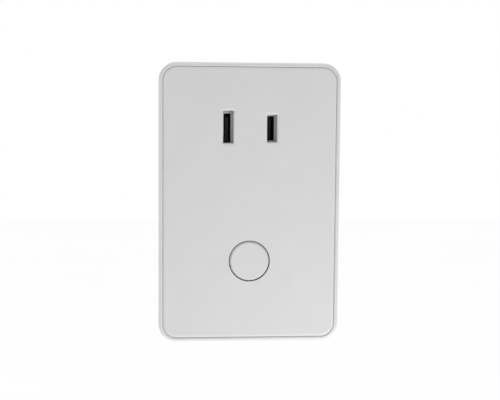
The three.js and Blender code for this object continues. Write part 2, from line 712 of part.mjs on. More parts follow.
function inputParts() {
  const lead = (x, z, length) => box(about(x, LEAD.halfWidth), [SEAT - length, SEAT], about(z, LEAD.half));
  const fuseBody = bar("z", FUSE.radius, FUSE.low, FUSE.high, [FUSE.x, SEAT - FUSE.axis], 16);
  const fuseLeads = [FUSE.low + 0.5, FUSE.high - 0.5].map((z) => lead(FUSE.x, z, LEAD.length));
  add("fuse", join(fuseBody, fuseLeads), 0xb58b5e, 0.4);
  const { radius, low, high, z: varistorZ, axis } = VARISTOR;
  const disc = bar("x", radius, low, high, [SEAT - axis, varistorZ], 20);
  const discLeads = about(varistorZ, radius / 2).map((z) => lead((low + high) / 2, z, LEAD.length + 1));
  add("varistor", join(disc, discLeads), 0x2c4f8f, 0.35);
  const filmOutline = roundedRectangle(FILM.width, FILM.length, FILM.corner, FILM.x, FILM.z);
  add("film_capacitor", prism("y", filmOutline, SEAT - FILM.height, SEAT, FILM.edge), 0xd8c23a, 0.4);
  const { at, rim, waist, height, rimHeight, footHeight } = CHOKE;
  const choke = join(
    bar("y", rim, SEAT - height, SEAT - height + rimHeight, at, 20),
    bar("y", waist, SEAT - height + rimHeight / 2, SEAT - footHeight / 2, at, 20),
    bar("y", rim, SEAT - footHeight, SEAT, at, 20),
  );
  add("choke", choke, 0x3a3432, 0.5);
  add("bridge_rectifier", chip(-11, -28.6, SEAT, BRIDGE), 0x202123, 0.5);
}

const TRANSFORMER = {
  x: -14.2,
  z: -40.2,
  width: 12,
  length: 13,
  leg: 3,
  front: SEAT - 7.4,
  rear: SEAT - 3.4,
};
const TRANSFORMER_WINDOW = { width: 3.1, length: 8.8 };
const SPOOL = { ease: 0.15, wall: 0.5, cheek: 4.4, cheekRise: 2.3, half: 4.3, inner: 3.7 };
const SPOOL_FOOT = { halfWidth: 5.5, halfLength: 6, top: 1.8, arch: 2.2 };
const WINDING = { half: 4.1, rise: 2, halfLength: 3.6 };

function transformer() {
  const { x, z, width, length, leg, front, rear } = TRANSFORMER;
  // A box about the core's middle that stands `rise` proud of it in front and behind
  const block = (halfX, rise, halfZ) => box(about(x, halfX), [front - rise, rear + rise], about(z, halfZ));
  const opening = TRANSFORMER_WINDOW;
  const windows = [-1, 1].map((side) => {
    const inner = x + (side * leg) / 2;
    return box(
      sorted(inner, inner + side * opening.width),
      [front - 1, rear + 1],
      about(z, opening.length / 2),
    );
  });
  add("transformer_core", cut(block(width / 2, 0, length / 2), windows), 0x35373a, 0.7);
  const { ease, wall, cheek, cheekRise, half, inner } = SPOOL;
  const passage = leg / 2 + ease;
  const arch = box(about(x, SPOOL_FOOT.halfWidth + 1), [rear, rear + SPOOL_FOOT.arch], about(z, inner));
  const foot = box(
    about(x, SPOOL_FOOT.halfWidth),
    [rear + SPOOL_FOOT.top, SEAT - GAP],
    about(z, SPOOL_FOOT.halfLength),
  );
  const spool = cut(
    join(
      block(passage + wall, ease + wall, half),
      cut(block(cheek, cheekRise, half), block(width, length, inner)),
      cut(foot, arch),
    ),
    block(passage, ease, length),
  );
  add("transformer_bobbin", spool, 0x17181a, 0.6);
  const windingBore = block(passage + wall + 0.1, ease + wall + 0.1, length);
  const winding = cut(block(WINDING.half, WINDING.rise, WINDING.halfLength), windingBore);
  add("transformer_winding", winding, 0xe3c23c, 0.5);
}

const METER = { length: 9.8, width: 3.9, height: 1.6, legs: 8 };
const SHUNT = { x: 13, half: 4, bridge: 2, slope: 0.6, rise: 1.2, sheet: 0.4, low: -42.6, high: -40.6 };

function metering() {
  add("metering_chip", chip(13, -36.6, SEAT, METER), 0x202123, 0.5);
  const { x, half, bridge, slope, rise, sheet, low, high } = SHUNT;
  const foot = SEAT - sheet / 2;
  const line = [
    [x - half, foot],
    [x - bridge - slope, foot],
    [x - bridge, foot - rise],
    [x + bridge, foot - rise],
    [x + bridge + slope, foot],
    [x + half, foot],
  ];
  add("shunt_resistor", prism("z", strip(line, sheet), low, high), 0xb0a090, 0.4, 1);
}

const STRAP = { sheet: 0.5, rise: 1.05, top: -12.9, slope: 0.7, foot: 1.3 };

// A heavy strap that carries the load current along Z, raised between its two feet.
function strap(name, x, end) {
  const { sheet, rise, top, slope, foot } = STRAP;
  const seat = SEAT - sheet / 2;
  const line = [
    [seat, top],
    [seat - rise, top - slope],
    [seat - rise, end + foot + slope],
    [seat, end + foot],
    [seat, end],
  ];
  add(name, prism("x", strip(line, sheet), ...x), 0xb98052, 0.35, 1);
}

// ---- Relay --------------------------------------------------------------------------------------------

const RELAY = {
  x: 14.7,
  z: -22.6,
  width: 12.3,
  length: 17.6,
  baseTop: SEAT - 1.5,
  top: SEAT - 10.3,
  wall: 0.7,
};
const COIL = { z: -25.6, radius: 3.5, rear: RELAY.baseTop - 1.1, front: RELAY.baseTop - 6.1 };
const HINGE = { y: COIL.front - 0.6, z: -30 };
const ARMATURE_THICKNESS = 0.7;
const CONTACT_AT = -16.6;
const CONTACT_GAP = 0.6;
const BOBBIN = { tube: 1.9, bore: 1.45, rim: 0.2, cheek: 0.6 };
const RELAY_WINDING = { inner: 2.1, outer: COIL.radius - 0.2, ease: 0.15 };
const POLE = { core: 1.2, face: 2.4, front: 0.25, rear: 0.02 };
const IRON_HALF_WIDTH = 2.6;
const YOKE = { sheet: 0.8, reach: 2, ease: 0.08 };
const RIVET = { radius: 0.9, height: 0.7, root: 0.1 };
const LEAF = { half: 1.6, sheet: 0.25, beyond: 1.2 };
const TERMINAL = { half: 1.5, sheet: 0.4, seat: 0.75, low: 1.2, high: 1.6 };

function relay() {
  const { x, z, width, length, baseTop, top, wall } = RELAY;
  const outline = (inset) => roundedRectangle(width - 2 * inset, length - 2 * inset, 0.6, x, z);
  add("relay_base", prism("y", outline(0), baseTop, SEAT - 0.3), 0x18191b, 0.55);
  const hollow = prism("y", outline(wall), top + wall, baseTop + 1);
  add("relay_case", cut(prism("y", outline(0), top, baseTop), hollow), 0x2455a4, 0.4);

  const at = [x, COIL.z];
  const yokeFront = baseTop - YOKE.sheet;
  const cheek = (end) => bar("y", COIL.radius + BOBBIN.rim, ...end, at);
  const bobbin = join(
    bar("y", BOBBIN.tube, COIL.front, COIL.rear, at, 16),
    cheek([COIL.front, COIL.front + BOBBIN.cheek]),
    cheek([COIL.rear - BOBBIN.cheek, COIL.rear]),
  );
  const bore = bar("y", BOBBIN.bore, COIL.front - 1, COIL.rear + 1, at, 16);
  add("relay_bobbin", cut(bobbin, bore), 0xe0ddd2, 0.5);
  const cheekEnd = BOBBIN.cheek + RELAY_WINDING.ease;
  const { outer, inner } = RELAY_WINDING;
  const turns = ring(outer, inner, COIL.front + cheekEnd, COIL.rear - cheekEnd, at);
  add("relay_winding", turns, 0xa9562a, 0.4, 0.6);
  const pole = [COIL.front - POLE.front, COIL.front - POLE.rear];
  const core = join(
    bar("y", POLE.core, pole[0], yokeFront - 0.05, at, 16),
    bar("y", POLE.face, ...pole, at, 20),
  );
  add("relay_core", core, 0x8d8f92, 0.4, 1);
  const wide = about(x, IRON_HALF_WIDTH);
  const yoke = join(
    box(wide, [yokeFront, baseTop], [HINGE.z - 0.3, COIL.z + YOKE.reach]),
    box(wide, [HINGE.y + YOKE.ease, baseTop], [HINGE.z - 0.3, HINGE.z + 0.5]),
  );
  add("relay_yoke", yoke, 0x8d8f92, 0.4, 1);

  const plateFront = HINGE.y - ARMATURE_THICKNESS;
  add("relay_armature", box(wide, [plateFront, HINGE.y], [HINGE.z, COIL.z + 2.8]), 0x8d8f92, 0.4, 1);
  const leaf = box(
    about(x, LEAF.half),
    [plateFront - LEAF.sheet, plateFront],
    [COIL.z - 0.6, CONTACT_AT + LEAF.beyond],
  );
  const rivet = (root, tip) => bar("y", RIVET.radius, root, tip, [x, CONTACT_AT], 16);
  const moving = join(leaf, rivet(plateFront - RIVET.root, plateFront + RIVET.height));
  add("relay_moving_contact", moving, 0xc79a5b, 0.3, 1);
  const fixedTop = plateFront + RIVET.height + CONTACT_GAP;
  const line = [
    [fixedTop + TERMINAL.seat, CONTACT_AT - TERMINAL.low],
    [fixedTop + TERMINAL.seat, CONTACT_AT + TERMINAL.high],
    [baseTop - 0.05, CONTACT_AT + TERMINAL.high],
  ];
  const terminal = prism("x", strip(line, TERMINAL.sheet), ...about(x, TERMINAL.half));
  add("relay_fixed_contact", join(terminal, rivet(fixedTop, fixedTop + RIVET.height)), 0xc79a5b, 0.3, 1);
}

// ---- Assembly -----------------------------------------------------------------------------------------

rearHousing();
frontCover();
housingScrews();
blade("neutral_blade", SIDES.neutral);
blade("line_blade", SIDES.line);
bladeHolder();
contact("neutral_contact", SIDES.neutral);
contact("line_contact", SIDES.line);
contactCarrier();
button();
tactileSwitch();
light();
powerBoard();
insulatingSheet();
controlBoard();
boardLink();
radio();
inputParts();
capacitor("filter_capacitor_1", [-0.6, -30.2], 4, 10);
capacitor("filter_capacitor_2", [-0.6, -39], 4, 10);
capacitor("output_capacitor", [-2.2, -50.4], 3.15, 9);
transformer();
metering();
strap("neutral_link", [-7.4, -5.2], -17.6);
strap("line_link", [5.9, 7.7], -29);
relay();

export default plug;
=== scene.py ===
"""The looks of a plug-in smart plug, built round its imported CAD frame.

The frame has +Z up, +Y into the wall and +X to the right seen from the front, with its origin on the
rear face midway between the blades. Lengths below are in millimetres, and become metres when a mesh is
made.
"""

import json
import math

import bmesh
import bpy
from mathutils import Matrix, Vector

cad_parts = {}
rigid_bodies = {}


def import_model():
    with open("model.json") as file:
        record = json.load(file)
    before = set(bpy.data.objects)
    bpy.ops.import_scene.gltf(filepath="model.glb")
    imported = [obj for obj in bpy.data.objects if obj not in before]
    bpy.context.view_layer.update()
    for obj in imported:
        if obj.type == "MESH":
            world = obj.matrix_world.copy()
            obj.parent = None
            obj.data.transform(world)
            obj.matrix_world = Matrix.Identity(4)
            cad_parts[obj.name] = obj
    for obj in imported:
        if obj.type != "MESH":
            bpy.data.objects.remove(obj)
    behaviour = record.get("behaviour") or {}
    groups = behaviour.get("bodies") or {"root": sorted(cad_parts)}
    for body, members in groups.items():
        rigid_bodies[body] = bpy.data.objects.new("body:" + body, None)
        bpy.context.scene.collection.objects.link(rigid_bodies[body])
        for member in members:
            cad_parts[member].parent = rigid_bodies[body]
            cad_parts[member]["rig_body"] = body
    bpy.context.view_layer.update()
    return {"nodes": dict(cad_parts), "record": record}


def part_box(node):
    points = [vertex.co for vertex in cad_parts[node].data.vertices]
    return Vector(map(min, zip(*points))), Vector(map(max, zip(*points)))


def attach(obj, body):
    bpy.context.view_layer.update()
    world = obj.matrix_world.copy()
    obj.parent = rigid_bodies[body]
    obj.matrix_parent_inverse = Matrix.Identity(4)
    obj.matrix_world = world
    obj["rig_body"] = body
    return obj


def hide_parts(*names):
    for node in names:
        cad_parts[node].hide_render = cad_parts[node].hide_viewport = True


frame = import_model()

MM = 0.001

# ---- Dimensions ------------------------------------------------------


def cad(node):
    """Lowest and highest corner of a CAD node, in millimetres."""
    low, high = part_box(node)
    return low / MM, high / MM


def middle(node):
    low, high = cad(node)
    return (low + high) / 2


def centre_of(node):
    """The middle of a CAD node seen from the front."""
    at = middle(node)
    return at.x, at.z


body_low, body_high = cad("rear_housing")
BODY_WIDTH = body_high.x - body_low.x
BODY_HEIGHT = body_high.z - body_low.z
BODY_CENTRE = centre_of("rear_housing")
BODY_CORNER = 5.2
RIM_FACE = body_low.y
RIM_WIDTH = 1.25
SIDE_WALL = 2.3
REAR_WALL = 2.2
COVER_FACE = cad("front_cover")[0].y
COVER_THICKNESS = 2.4
COVER_BACK = COVER_FACE + COVER_THICKNESS
GROOVE = 0.02
BUTTON_CENTRE = (0.0, middle("button_cap").z)
BUTTON_RADIUS = 5.76
BUTTON_HOLE = 6.0
BLADE_PITCH = 12.7
BLADE_THICKNESS = 1.5
SHOULDER = 1.4
OUTLET_AT = -0.35
SLOT_WIDTH = 2.0
SLOT_SHIFT = -0.22
SIDES = {
    "neutral": {
        "x": -BLADE_PITCH / 2,
        "slot": 8.4,
        "mouth": (3.05, 9.4),
        "mouth_at": 0.0,
        "lead": (0.9, 0.4),
        "lead_steps": 6,
    },
    "line": {
        "x": BLADE_PITCH / 2,
        "slot": 7.0,
        "mouth": (2.9, 7.9),
        "mouth_at": -0.35,
        "lead": (0.8, 0.45),
        "lead_steps": 4,
    },
}
SCREW_PLACES = [centre_of(f"housing_screw_{i}") for i in range(1, 5)]

# ---- Camera ----------------------------------------------------------

CAMERA_AZIMUTH = -5.03
CAMERA_ELEVATION = 5.06
CAMERA_ROLL = 0.45
CAMERA_DISTANCE = 300.0
CAMERA_LENS = 74.5
SENSOR_WIDTH = 36.0
CAMERA_AIM = Vector((0.06, COVER_FACE, BODY_CENTRE[1] + 1.03))


def make_camera():
    """The camera at the photograph's viewing angle."""
    azimuth, elevation = math.radians(CAMERA_AZIMUTH), math.radians(CAMERA_ELEVATION)
    back = Vector(
        (
            math.sin(azimuth) * math.cos(elevation),
            -math.cos(azimuth) * math.cos(elevation),
            math.sin(elevation),
        )
    )
    data = bpy.data.cameras.new("camera")
    data.lens = CAMERA_LENS
    data.sensor_width = SENSOR_WIDTH
    data.clip_start = 0.01
    data.clip_end = 50.0
    camera = bpy.data.objects.new("camera", data)
    bpy.context.scene.collection.objects.link(camera)
    facing = (-back).to_track_quat("-Z", "Y").to_matrix().to_4x4()
    roll = Matrix.Rotation(math.radians(CAMERA_ROLL), 4, "Z")
    place = Matrix.Translation((CAMERA_AIM + back * CAMERA_DISTANCE) * MM)
    camera.matrix_world = place @ facing @ roll
    bpy.context.scene.camera = camera


make_camera()

# ---- Outlines --------------------------------------------------------

CORNER_STEPS = 14
ROUND_STEPS = 72
FILLET_STEPS = 5


def rounded_rectangle(width, height, radius, centre=(0.0, 0.0)):
    """A rectangle with round corners, as a function of how far it is drawn in."""

    def at(inset):
        corner = max(radius - inset, 0.01)
        half_u, half_v = width / 2 - inset - corner, height / 2 - inset - corner
        points = []
        for quarter, (su, sv) in enumerate([(1, 1), (-1, 1), (-1, -1), (1, -1)]):
            for step in range(CORNER_STEPS + 1):
                angle = (quarter + step / CORNER_STEPS) * math.pi / 2
                u = centre[0] + su * half_u + corner * math.cos(angle)
                v = centre[1] + sv * half_v + corner * math.sin(angle)
                points.append((u, v))
        return points

    return at


def circle(radius, centre=(0.0, 0.0), steps=ROUND_STEPS):
    """A circle, as a function of how far it is drawn in."""

    def at(inset):
        turns = [2 * math.pi * step / steps for step in range(steps)]
        r = radius - inset
        return [(centre[0] + r * math.cos(t), centre[1] + r * math.sin(t)) for t in turns]

    return at


def round_corners(points, radius, closed=True, steps=5):
    """The same line with each corner turned into an arc."""
    line = [Vector(p) for p in points]
    count = len(line)
    made = []
    for i, corner in enumerate(line):
        if not closed and i in (0, count - 1):
            made.append(tuple(corner))
            continue
        before, after = line[i - 1], line[(i + 1) % count]
        into, out = (corner - before), (after - corner)
        turn = into.angle_signed(out, 0.0)
        if abs(turn) < 1e-3:
            made.append(tuple(corner))
            continue
        reach = min(radius * math.tan(abs(turn) / 2), 0.49 * into.length, 0.49 * out.length)
        start, end = corner - into.normalized() * reach, corner + out.normalized() * reach
        for step in range(steps + 1):
            t = step / steps
            point = start * (1 - t) ** 2 + corner * 2 * t * (1 - t) + end * t**2
            made.append(tuple(point))
    return made


def offset_line(points, reach, closed=True):
    """The line moved sideways, to its left for a reach above 0."""
    line = [Vector(p) for p in points]
    count = len(line)
    moved = []
    for i, point in enumerate(line):
        before = line[i - 1] if closed or i > 0 else None
        after = line[(i + 1) % count] if closed or i < count - 1 else None
        into = (point - before).normalized() if before is not None else None
        out = (after - point).normalized() if after is not None else None
        into, out = into or out, out or into
        middle = (into + out).normalized()
        side = Vector((-middle.y, middle.x))
        moved.append(tuple(point + side * reach / max(middle.dot(into), 0.3)))
    return moved


def signed_area(points):
    return sum(a[0] * b[1] - b[0] * a[1] for a, b in zip(points, points[1:] + points[:1])) / 2


def polygon(points):
    """Any closed outline, as a function of how far it is drawn in."""
    inward = 1 if signed_area(points) > 0 else -1

    def at(inset):
        return offset_line(points, inward * inset) if inset else [tuple(p) for p in points]

    return at


def strip(points, thickness, bend=0.8):
    """A bent strip of even thickness whose middle line is the points with rounded bends."""
    line = round_corners(points, bend, closed=False)
    left = offset_line(line, thickness / 2, closed=False)
    right = offset_line(line, -thickness / 2, closed=False)
    return polygon(left + right[::-1])


# ---- Solids ----------------------------------------------------------

PLACE = {
    "x": lambda u, v, w: (w * MM, u * MM, v * MM),
    "y": lambda u, v, w: (u * MM, w * MM, v * MM),
    "z": lambda u, v, w: (u * MM, v * MM, w * MM),
}


def mesh_object(name, points, faces):
    mesh = bpy.data.meshes.new(name)
    mesh.from_pydata(points, [], faces)
    work = bmesh.new()
    work.from_mesh(mesh)
    bmesh.ops.remove_doubles(work, verts=work.verts, dist=1e-8)
    bmesh.ops.recalc_face_normals(work, faces=work.faces)
    work.to_mesh(mesh)
    work.free()
    made = bpy.data.objects.new(name, mesh)
    bpy.context.scene.collection.objects.link(made)
    return made


def stack(outline, levels, axis="y"):
    """A closed solid through an outline's rings. A level is how far a ring is drawn in, and its place."""
    place = PLACE[axis]
    rings = [[place(u, v, w) for u, v in outline(inset)] for inset, w in levels]
    count = len(rings[0])
    points = [p for ring in rings for p in ring]
    faces = [list(range(count)), list(range(len(points) - count, len(points)))]
    for level in range(len(rings) - 1):
        for i in range(count):
            j = (i + 1) % count
            here, there = level * count, (level + 1) * count
            faces.append([here + i, here + j, there + j, there + i])
    return mesh_object("solid", points, faces)


def round_end(width, at, inward, steps=FILLET_STEPS, depth=None):
    """Levels of a rounded edge, from the flat face at `at` to the wall, as deep as wide if not told."""
    depth = depth or width
    levels = []
    for step in range(steps + 1):
        angle = math.pi / 2 * step / steps
        levels.append((width * (1 - math.sin(angle)), at + inward * depth * (1 - math.cos(angle))))
    return levels


def block(outline, low, high, low_edge=0.0, high_edge=0.0, axis="y", steps=FILLET_STEPS):
    """A prism of an outline between two places, with rounded edges at either end."""
    levels = round_end(low_edge, low, 1, steps) if low_edge else [(0.0, low)]
    levels += reversed(round_end(high_edge, high, -1, steps)) if high_edge else [(0.0, high)]
    return stack(outline, levels, axis)


def mouth(outline, face, depth, edge, inward=1, axis="y", steps=FILLET_STEPS, edge_depth=None):
    """A cutter that goes into a face and rounds the edge of its opening, or chamfers it in one step."""
    flare = [(-drawn_in, at) for drawn_in, at in round_end(edge, face, inward, steps, edge_depth)]
    return stack(outline, [(-edge, face - inward), *flare, (0.0, face + inward * depth)], axis)


def turned(profile, centre=(0.0, 0.0), steps=ROUND_STEPS, axis="y"):
    """A solid of revolution. The profile is (radius, place) pairs, and both ends are on the axis."""
    place = PLACE[axis]
    rings = []
    for radius, w in profile:
        if radius < 1e-6:
            rings.append([place(centre[0], centre[1], w)])
        else:
            turns = [2 * math.pi * step / steps for step in range(steps)]
            around = [(centre[0] + radius * math.cos(t), centre[1] + radius * math.sin(t)) for t in turns]
            rings.append([place(u, v, w) for u, v in around])
    points, starts = [], []
    for ring in rings:
        starts.append(len(points))
        points += ring
    faces = []
    for (a, ring_a), (b, ring_b) in zip(zip(starts, rings), zip(starts[1:], rings[1:])):
        for i in range(steps):
            j = (i + 1) % steps
            face = [a + i, a + j] if len(ring_a) > 1 else [a]
            face += [b + j, b + i] if len(ring_b) > 1 else [b]
            if len(face) > 2:
                faces.append(face)
    return mesh_object("turned", points, faces)


def lathe(profile, corner, centre, steps=48, axis="y", corner_steps=4):
    """A solid of revolution whose profile's corners are rounded."""
    rounded = round_corners(profile, corner, closed=False, steps=corner_steps)
    return turned(rounded, centre, steps, axis)


def ring_solid(profile, centre=(0.0, 0.0), steps=ROUND_STEPS, axis="y"):
    """A ring of revolution. The profile is a closed loop of (radius, place) pairs, off the axis."""
    place = PLACE[axis]
    count = len(profile)
    points = []
    for step in range(steps):
        turn = 2 * math.pi * step / steps
        across, up = math.cos(turn), math.sin(turn)
        points += [place(centre[0] + r * across, centre[1] + r * up, w) for r, w in profile]
    faces = []
    for step in range(steps):
        here, there = step * count, (step + 1) % steps * count
        for i in range(count):
            j = (i + 1) % count
            faces.append([here + i, here + j, there + j, there + i])
    return mesh_object("ring", points, faces)


def box(x, y, z, edge=0.0):
    """A box between pairs of places, with small rounded edges all over where an edge radius is given."""
    centre = ((x[0] + x[1]) / 2, (z[0] + z[1]) / 2)
    outline = rounded_rectangle(x[1] - x[0], z[1] - z[0], max(edge, 0.001), centre)
    return block(outline, y[0], y[1], edge, edge, steps=3)


def outline_of(node, corner, margin=0.0):
    """A CAD node's outline seen from the front, with round corners, drawn in by a margin."""
    low, high = cad(node)
    size = high - low
    return rounded_rectangle(size.x - 2 * margin, size.z - 2 * margin, corner, centre_of(node))


def slab(node, corner, front_edge=0.0, rear_edge=0.0, steps=FILLET_STEPS):
    """A plate or a block as large as a CAD node, with round corners seen from the front."""
    low, high = cad(node)
    return block(outline_of(node, corner), low.y, high.y, front_edge, rear_edge, steps=steps)


def box_of(node, edge):
    """A box as large as a CAD node, with small rounded edges all over."""
    return box(*zip(*cad(node)), edge)


def disc(radius, at, front, rear, *edges, steps=ROUND_STEPS):
    """A short cylinder along Y between two places, with rounded edges at either end."""
    return block(circle(radius, at, steps), front, rear, *edges)


def discard(piece):
    mesh = piece.data
    bpy.data.objects.remove(piece)
    bpy.data.meshes.remove(mesh)


def gather(pieces):
    """Several meshes as one object, still separate inside it."""
    work = bmesh.new()
    for piece in pieces:
        work.from_mesh(piece.data)
    mesh = bpy.data.meshes.new("gathered")
    work.to_mesh(mesh)
    work.free()
    made = bpy.data.objects.new("gathered", mesh)
    bpy.context.scene.collection.objects.link(made)
    for piece in pieces:
        discard(piece)
    return made


def combine(piece, others, operation):
    """The piece with the other solids joined to it or cut from it."""
    tool = gather(others)
    modifier = piece.modifiers.new("combine", "BOOLEAN")
    modifier.operation = operation
    modifier.solver = "EXACT"
    modifier.use_self = operation == "UNION"
    modifier.object = tool
    graph = bpy.context.evaluated_depsgraph_get()
    mesh = bpy.data.meshes.new_from_object(piece.evaluated_get(graph))
    piece.modifiers.clear()
    old = piece.data
    piece.data = mesh
    bpy.data.meshes.remove(old)
    discard(tool)
    return piece


def join(piece, *others):
    return combine(piece, list(others), "UNION")


def cut(piece, *others):
    return combine(piece, list(others), "DIFFERENCE")


SMOOTH_ANGLE = math.radians(32)
FACE_WEIGHT = 80
SLOT_OF = {row["node"]: row["material_slot"] for row in frame["record"]["subparts"]}


def finish_piece(node, piece, paint=()):
    """Puts a finished mesh in a CAD node's place, with its shading and its material.

    Each row of paint is a material slot and a test of a face's middle, in millimetres, and normal.
    """
    piece.name = piece.data.name = f"{node}_detail"
    piece.data.materials.clear()
    piece.data.materials.append(MATERIALS[SLOT_OF[node]])
    for index, (slot, chosen) in enumerate(paint, 1):
        piece.data.materials.append(MATERIALS[slot])
        for face in piece.data.polygons:
            if chosen(face.center / MM, face.normal):
                face.material_index = index
    piece.data.shade_smooth()
    piece.data.set_sharp_from_angle(angle=SMOOTH_ANGLE)
    weighted = piece.modifiers.new("even_faces", "WEIGHTED_NORMAL")
    weighted.keep_sharp = True
    weighted.weight = FACE_WEIGHT
    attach(piece, frame["nodes"][node]["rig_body"])
    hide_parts(node)


# ---- Materials -------------------------------------------------------


class Nodes:
    """A material's node tree, with its surface shader and object-space coordinates ready."""

    def __init__(self, name):
        self.material = bpy.data.materials.new(name)
        self.material.use_nodes = True
        self.tree = self.material.node_tree
        self.shader = self.tree.nodes["Principled BSDF"]
        self.place = self.tree.nodes.new("ShaderNodeTexCoord").outputs["Object"]

    def add(self, kind, values=(), **settings):
        node = self.tree.nodes.new(kind)
        for key, value in settings.items():
            setattr(node, key, value)
        for socket, value in dict(values).items():
            if isinstance(value, bpy.types.NodeSocket):
                self.tree.links.new(value, node.inputs[socket])
            else:
                node.inputs[socket].default_value = value
        return node

    def scaled(self, scale):
        """The coordinates stretched by a scale for each axis."""
        return self.add("ShaderNodeMapping", {"Vector": self.place, "Scale": scale}).outputs["Vector"]

    def noise(self, size, detail=2.0, stretch=(1, 1, 1)):
        """Noise whose grains are about `size` millimetres across."""
        scale = [s / (size * MM) for s in stretch]
        return self.add(
            "ShaderNodeTexNoise", {"Vector": self.scaled(scale), "Scale": 1.0, "Detail": detail}
        ).outputs["Fac"]

    def remap(self, value, low, high, source=(0.3, 0.7)):
        return self.add(
            "ShaderNodeMapRange",
            {"Value": value, "From Min": source[0], "From Max": source[1], "To Min": low, "To Max": high},
        ).outputs["Result"]

    def noise_share(self, size):
        """Soft clouds of noise from 0 to 1."""
        return self.remap(self.noise(size, 3.0), 0.0, 1.0)

    def math(self, operation, *values, kind="ShaderNodeMath"):
        return self.add(kind, enumerate(values), operation=operation).outputs[0]

    def blend(self, factor, first, second):
        """A mix of two colours. The first can come from another node."""
        if not isinstance(first, bpy.types.NodeSocket):
            first = (*first, 1.0)
        values = {"Factor": factor, "A": first, "B": (*second, 1.0)}
        return self.add("ShaderNodeMix", values, data_type="RGBA").outputs["Result"]

    def bump(self, height, distance, strength=1.0, below=None):
        values = {"Height": height, "Distance": distance * MM, "Strength": strength}
        node = self.add("ShaderNodeBump", values)
        if below is not None:
            self.tree.links.new(below, node.inputs["Normal"])
        return node.outputs["Normal"]

    def set(self, **sockets):
        for key, value in sockets.items():
            socket = self.shader.inputs["IOR" if key == "ior" else key.replace("_", " ").title()]
            if isinstance(value, bpy.types.NodeSocket):
                self.tree.links.new(value, socket)
            elif isinstance(value, (tuple, list)) and len(value) == 3:
                socket.default_value = (*value, 1.0)
            else:
                socket.default_value = value
        return self


PLASTIC_IOR = 1.46
TRACK_SWEEP = 11.0
TRACK_PITCH = 1.1
VIA_SPACING = 3.4
SOLDER_COLOUR = (0.30, 0.31, 0.31)


def tinted(colour, factor):
    return tuple(min(c * factor, 1.0) for c in colour)


def moulded_plastic(name, colour, roughness, grain=0.22, relief=0.004):
    """Injection-moulded plastic with a fine spark-eroded grain and a faint flow variation."""
    n = Nodes(name)
    n.set(
        base_color=n.blend(n.noise_share(9.0), tinted(colour, 0.985), tinted(colour, 1.012)),
        roughness=n.remap(n.noise(1.6, 3.0), roughness - 0.04, roughness + 0.05),
        normal=n.bump(n.noise(grain), relief),
        ior=PLASTIC_IOR,
    )
    return n.material


def drawn_metal(name, colour, roughness, stretch, line=0.12, relief=0.003):
    """Rolled or plated metal with fine lines along one direction and slightly uneven tone."""
    n = Nodes(name)
    lines = n.noise(line, 3.0, [1 / s for s in stretch])
    n.set(
        base_color=n.blend(n.noise_share(2.5), tinted(colour, 0.9), tinted(colour, 1.05)),
        roughness=n.remap(lines, roughness - 0.07, roughness + 0.1),
        metallic=1.0,
        normal=n.bump(lines, relief),
    )
    return n.material


def laminate(name, colour, track_colour):
    """A circuit board: glossy solder mask over copper tracks with square corners, and plated vias."""
    n = Nodes(name)
    flat = n.math("MULTIPLY", n.place, (1, 0, 1), kind="ShaderNodeVectorMath")
    sweep = {"Vector": flat, "Scale": 1 / (TRACK_SWEEP * MM)}
    route = n.add("ShaderNodeTexVoronoi", sweep, distance="CHEBYCHEV").outputs["Distance"]
    lane = n.math("FRACT", n.math("MULTIPLY", route, TRACK_SWEEP / TRACK_PITCH))
    copper = n.remap(lane, 0.0, 1.0, (0.58, 0.64))
    spots = n.add("ShaderNodeTexVoronoi", {"Vector": flat, "Scale": 1 / (VIA_SPACING * MM)})
    via = n.remap(spots.outputs["Distance"], 1.0, 0.0, (0.055, 0.075))
    shade = n.blend(n.noise_share(5.0), tinted(colour, 0.94), tinted(colour, 1.05))
    for factor, over in ((copper, track_colour), (via, SOLDER_COLOUR)):
        shade = n.blend(factor, shade, over)
    n.set(
        base_color=shade,
        roughness=n.remap(n.noise(1.2), 0.24, 0.36),
        normal=n.bump(copper, 0.02, 0.6, n.bump(n.noise(0.35), 0.002)),
        coat_weight=0.25,
        coat_roughness=0.2,
    )
    return n.material


def coated(name, colour, roughness, ripple, relief, sockets=()):
    """A glossy dip coating, film or resin with a gently uneven skin."""
    n = Nodes(name)
    n.set(
        base_color=n.blend(n.remap(n.noise(3.0), 0.0, 1.0), tinted(colour, 0.92), tinted(colour, 1.06)),
        roughness=n.remap(n.noise(0.6, 3.0), roughness - 0.05, roughness + 0.08),
        normal=n.bump(n.noise(ripple, 1.0), relief),
        **dict(sockets),
    )
    return n.material


def sintered(name, colour, roughness, grain=0.18, relief=0.012):
    """A pressed and fired powder, such as ferrite or ceramic, with speckled grains."""
    n = Nodes(name)
    cells = n.add("ShaderNodeTexVoronoi", {"Vector": n.scaled([1 / (grain * MM)] * 3), "Scale": 1.0})
    speck = n.remap(cells.outputs["Distance"], 0.0, 1.0, (0.1, 0.8))
    n.set(
        base_color=n.blend(speck, tinted(colour, 0.75), tinted(colour, 1.25)),
        roughness=n.remap(n.noise(1.5), roughness - 0.06, roughness + 0.08),
        normal=n.bump(cells.outputs["Distance"], relief),
    )
    return n.material


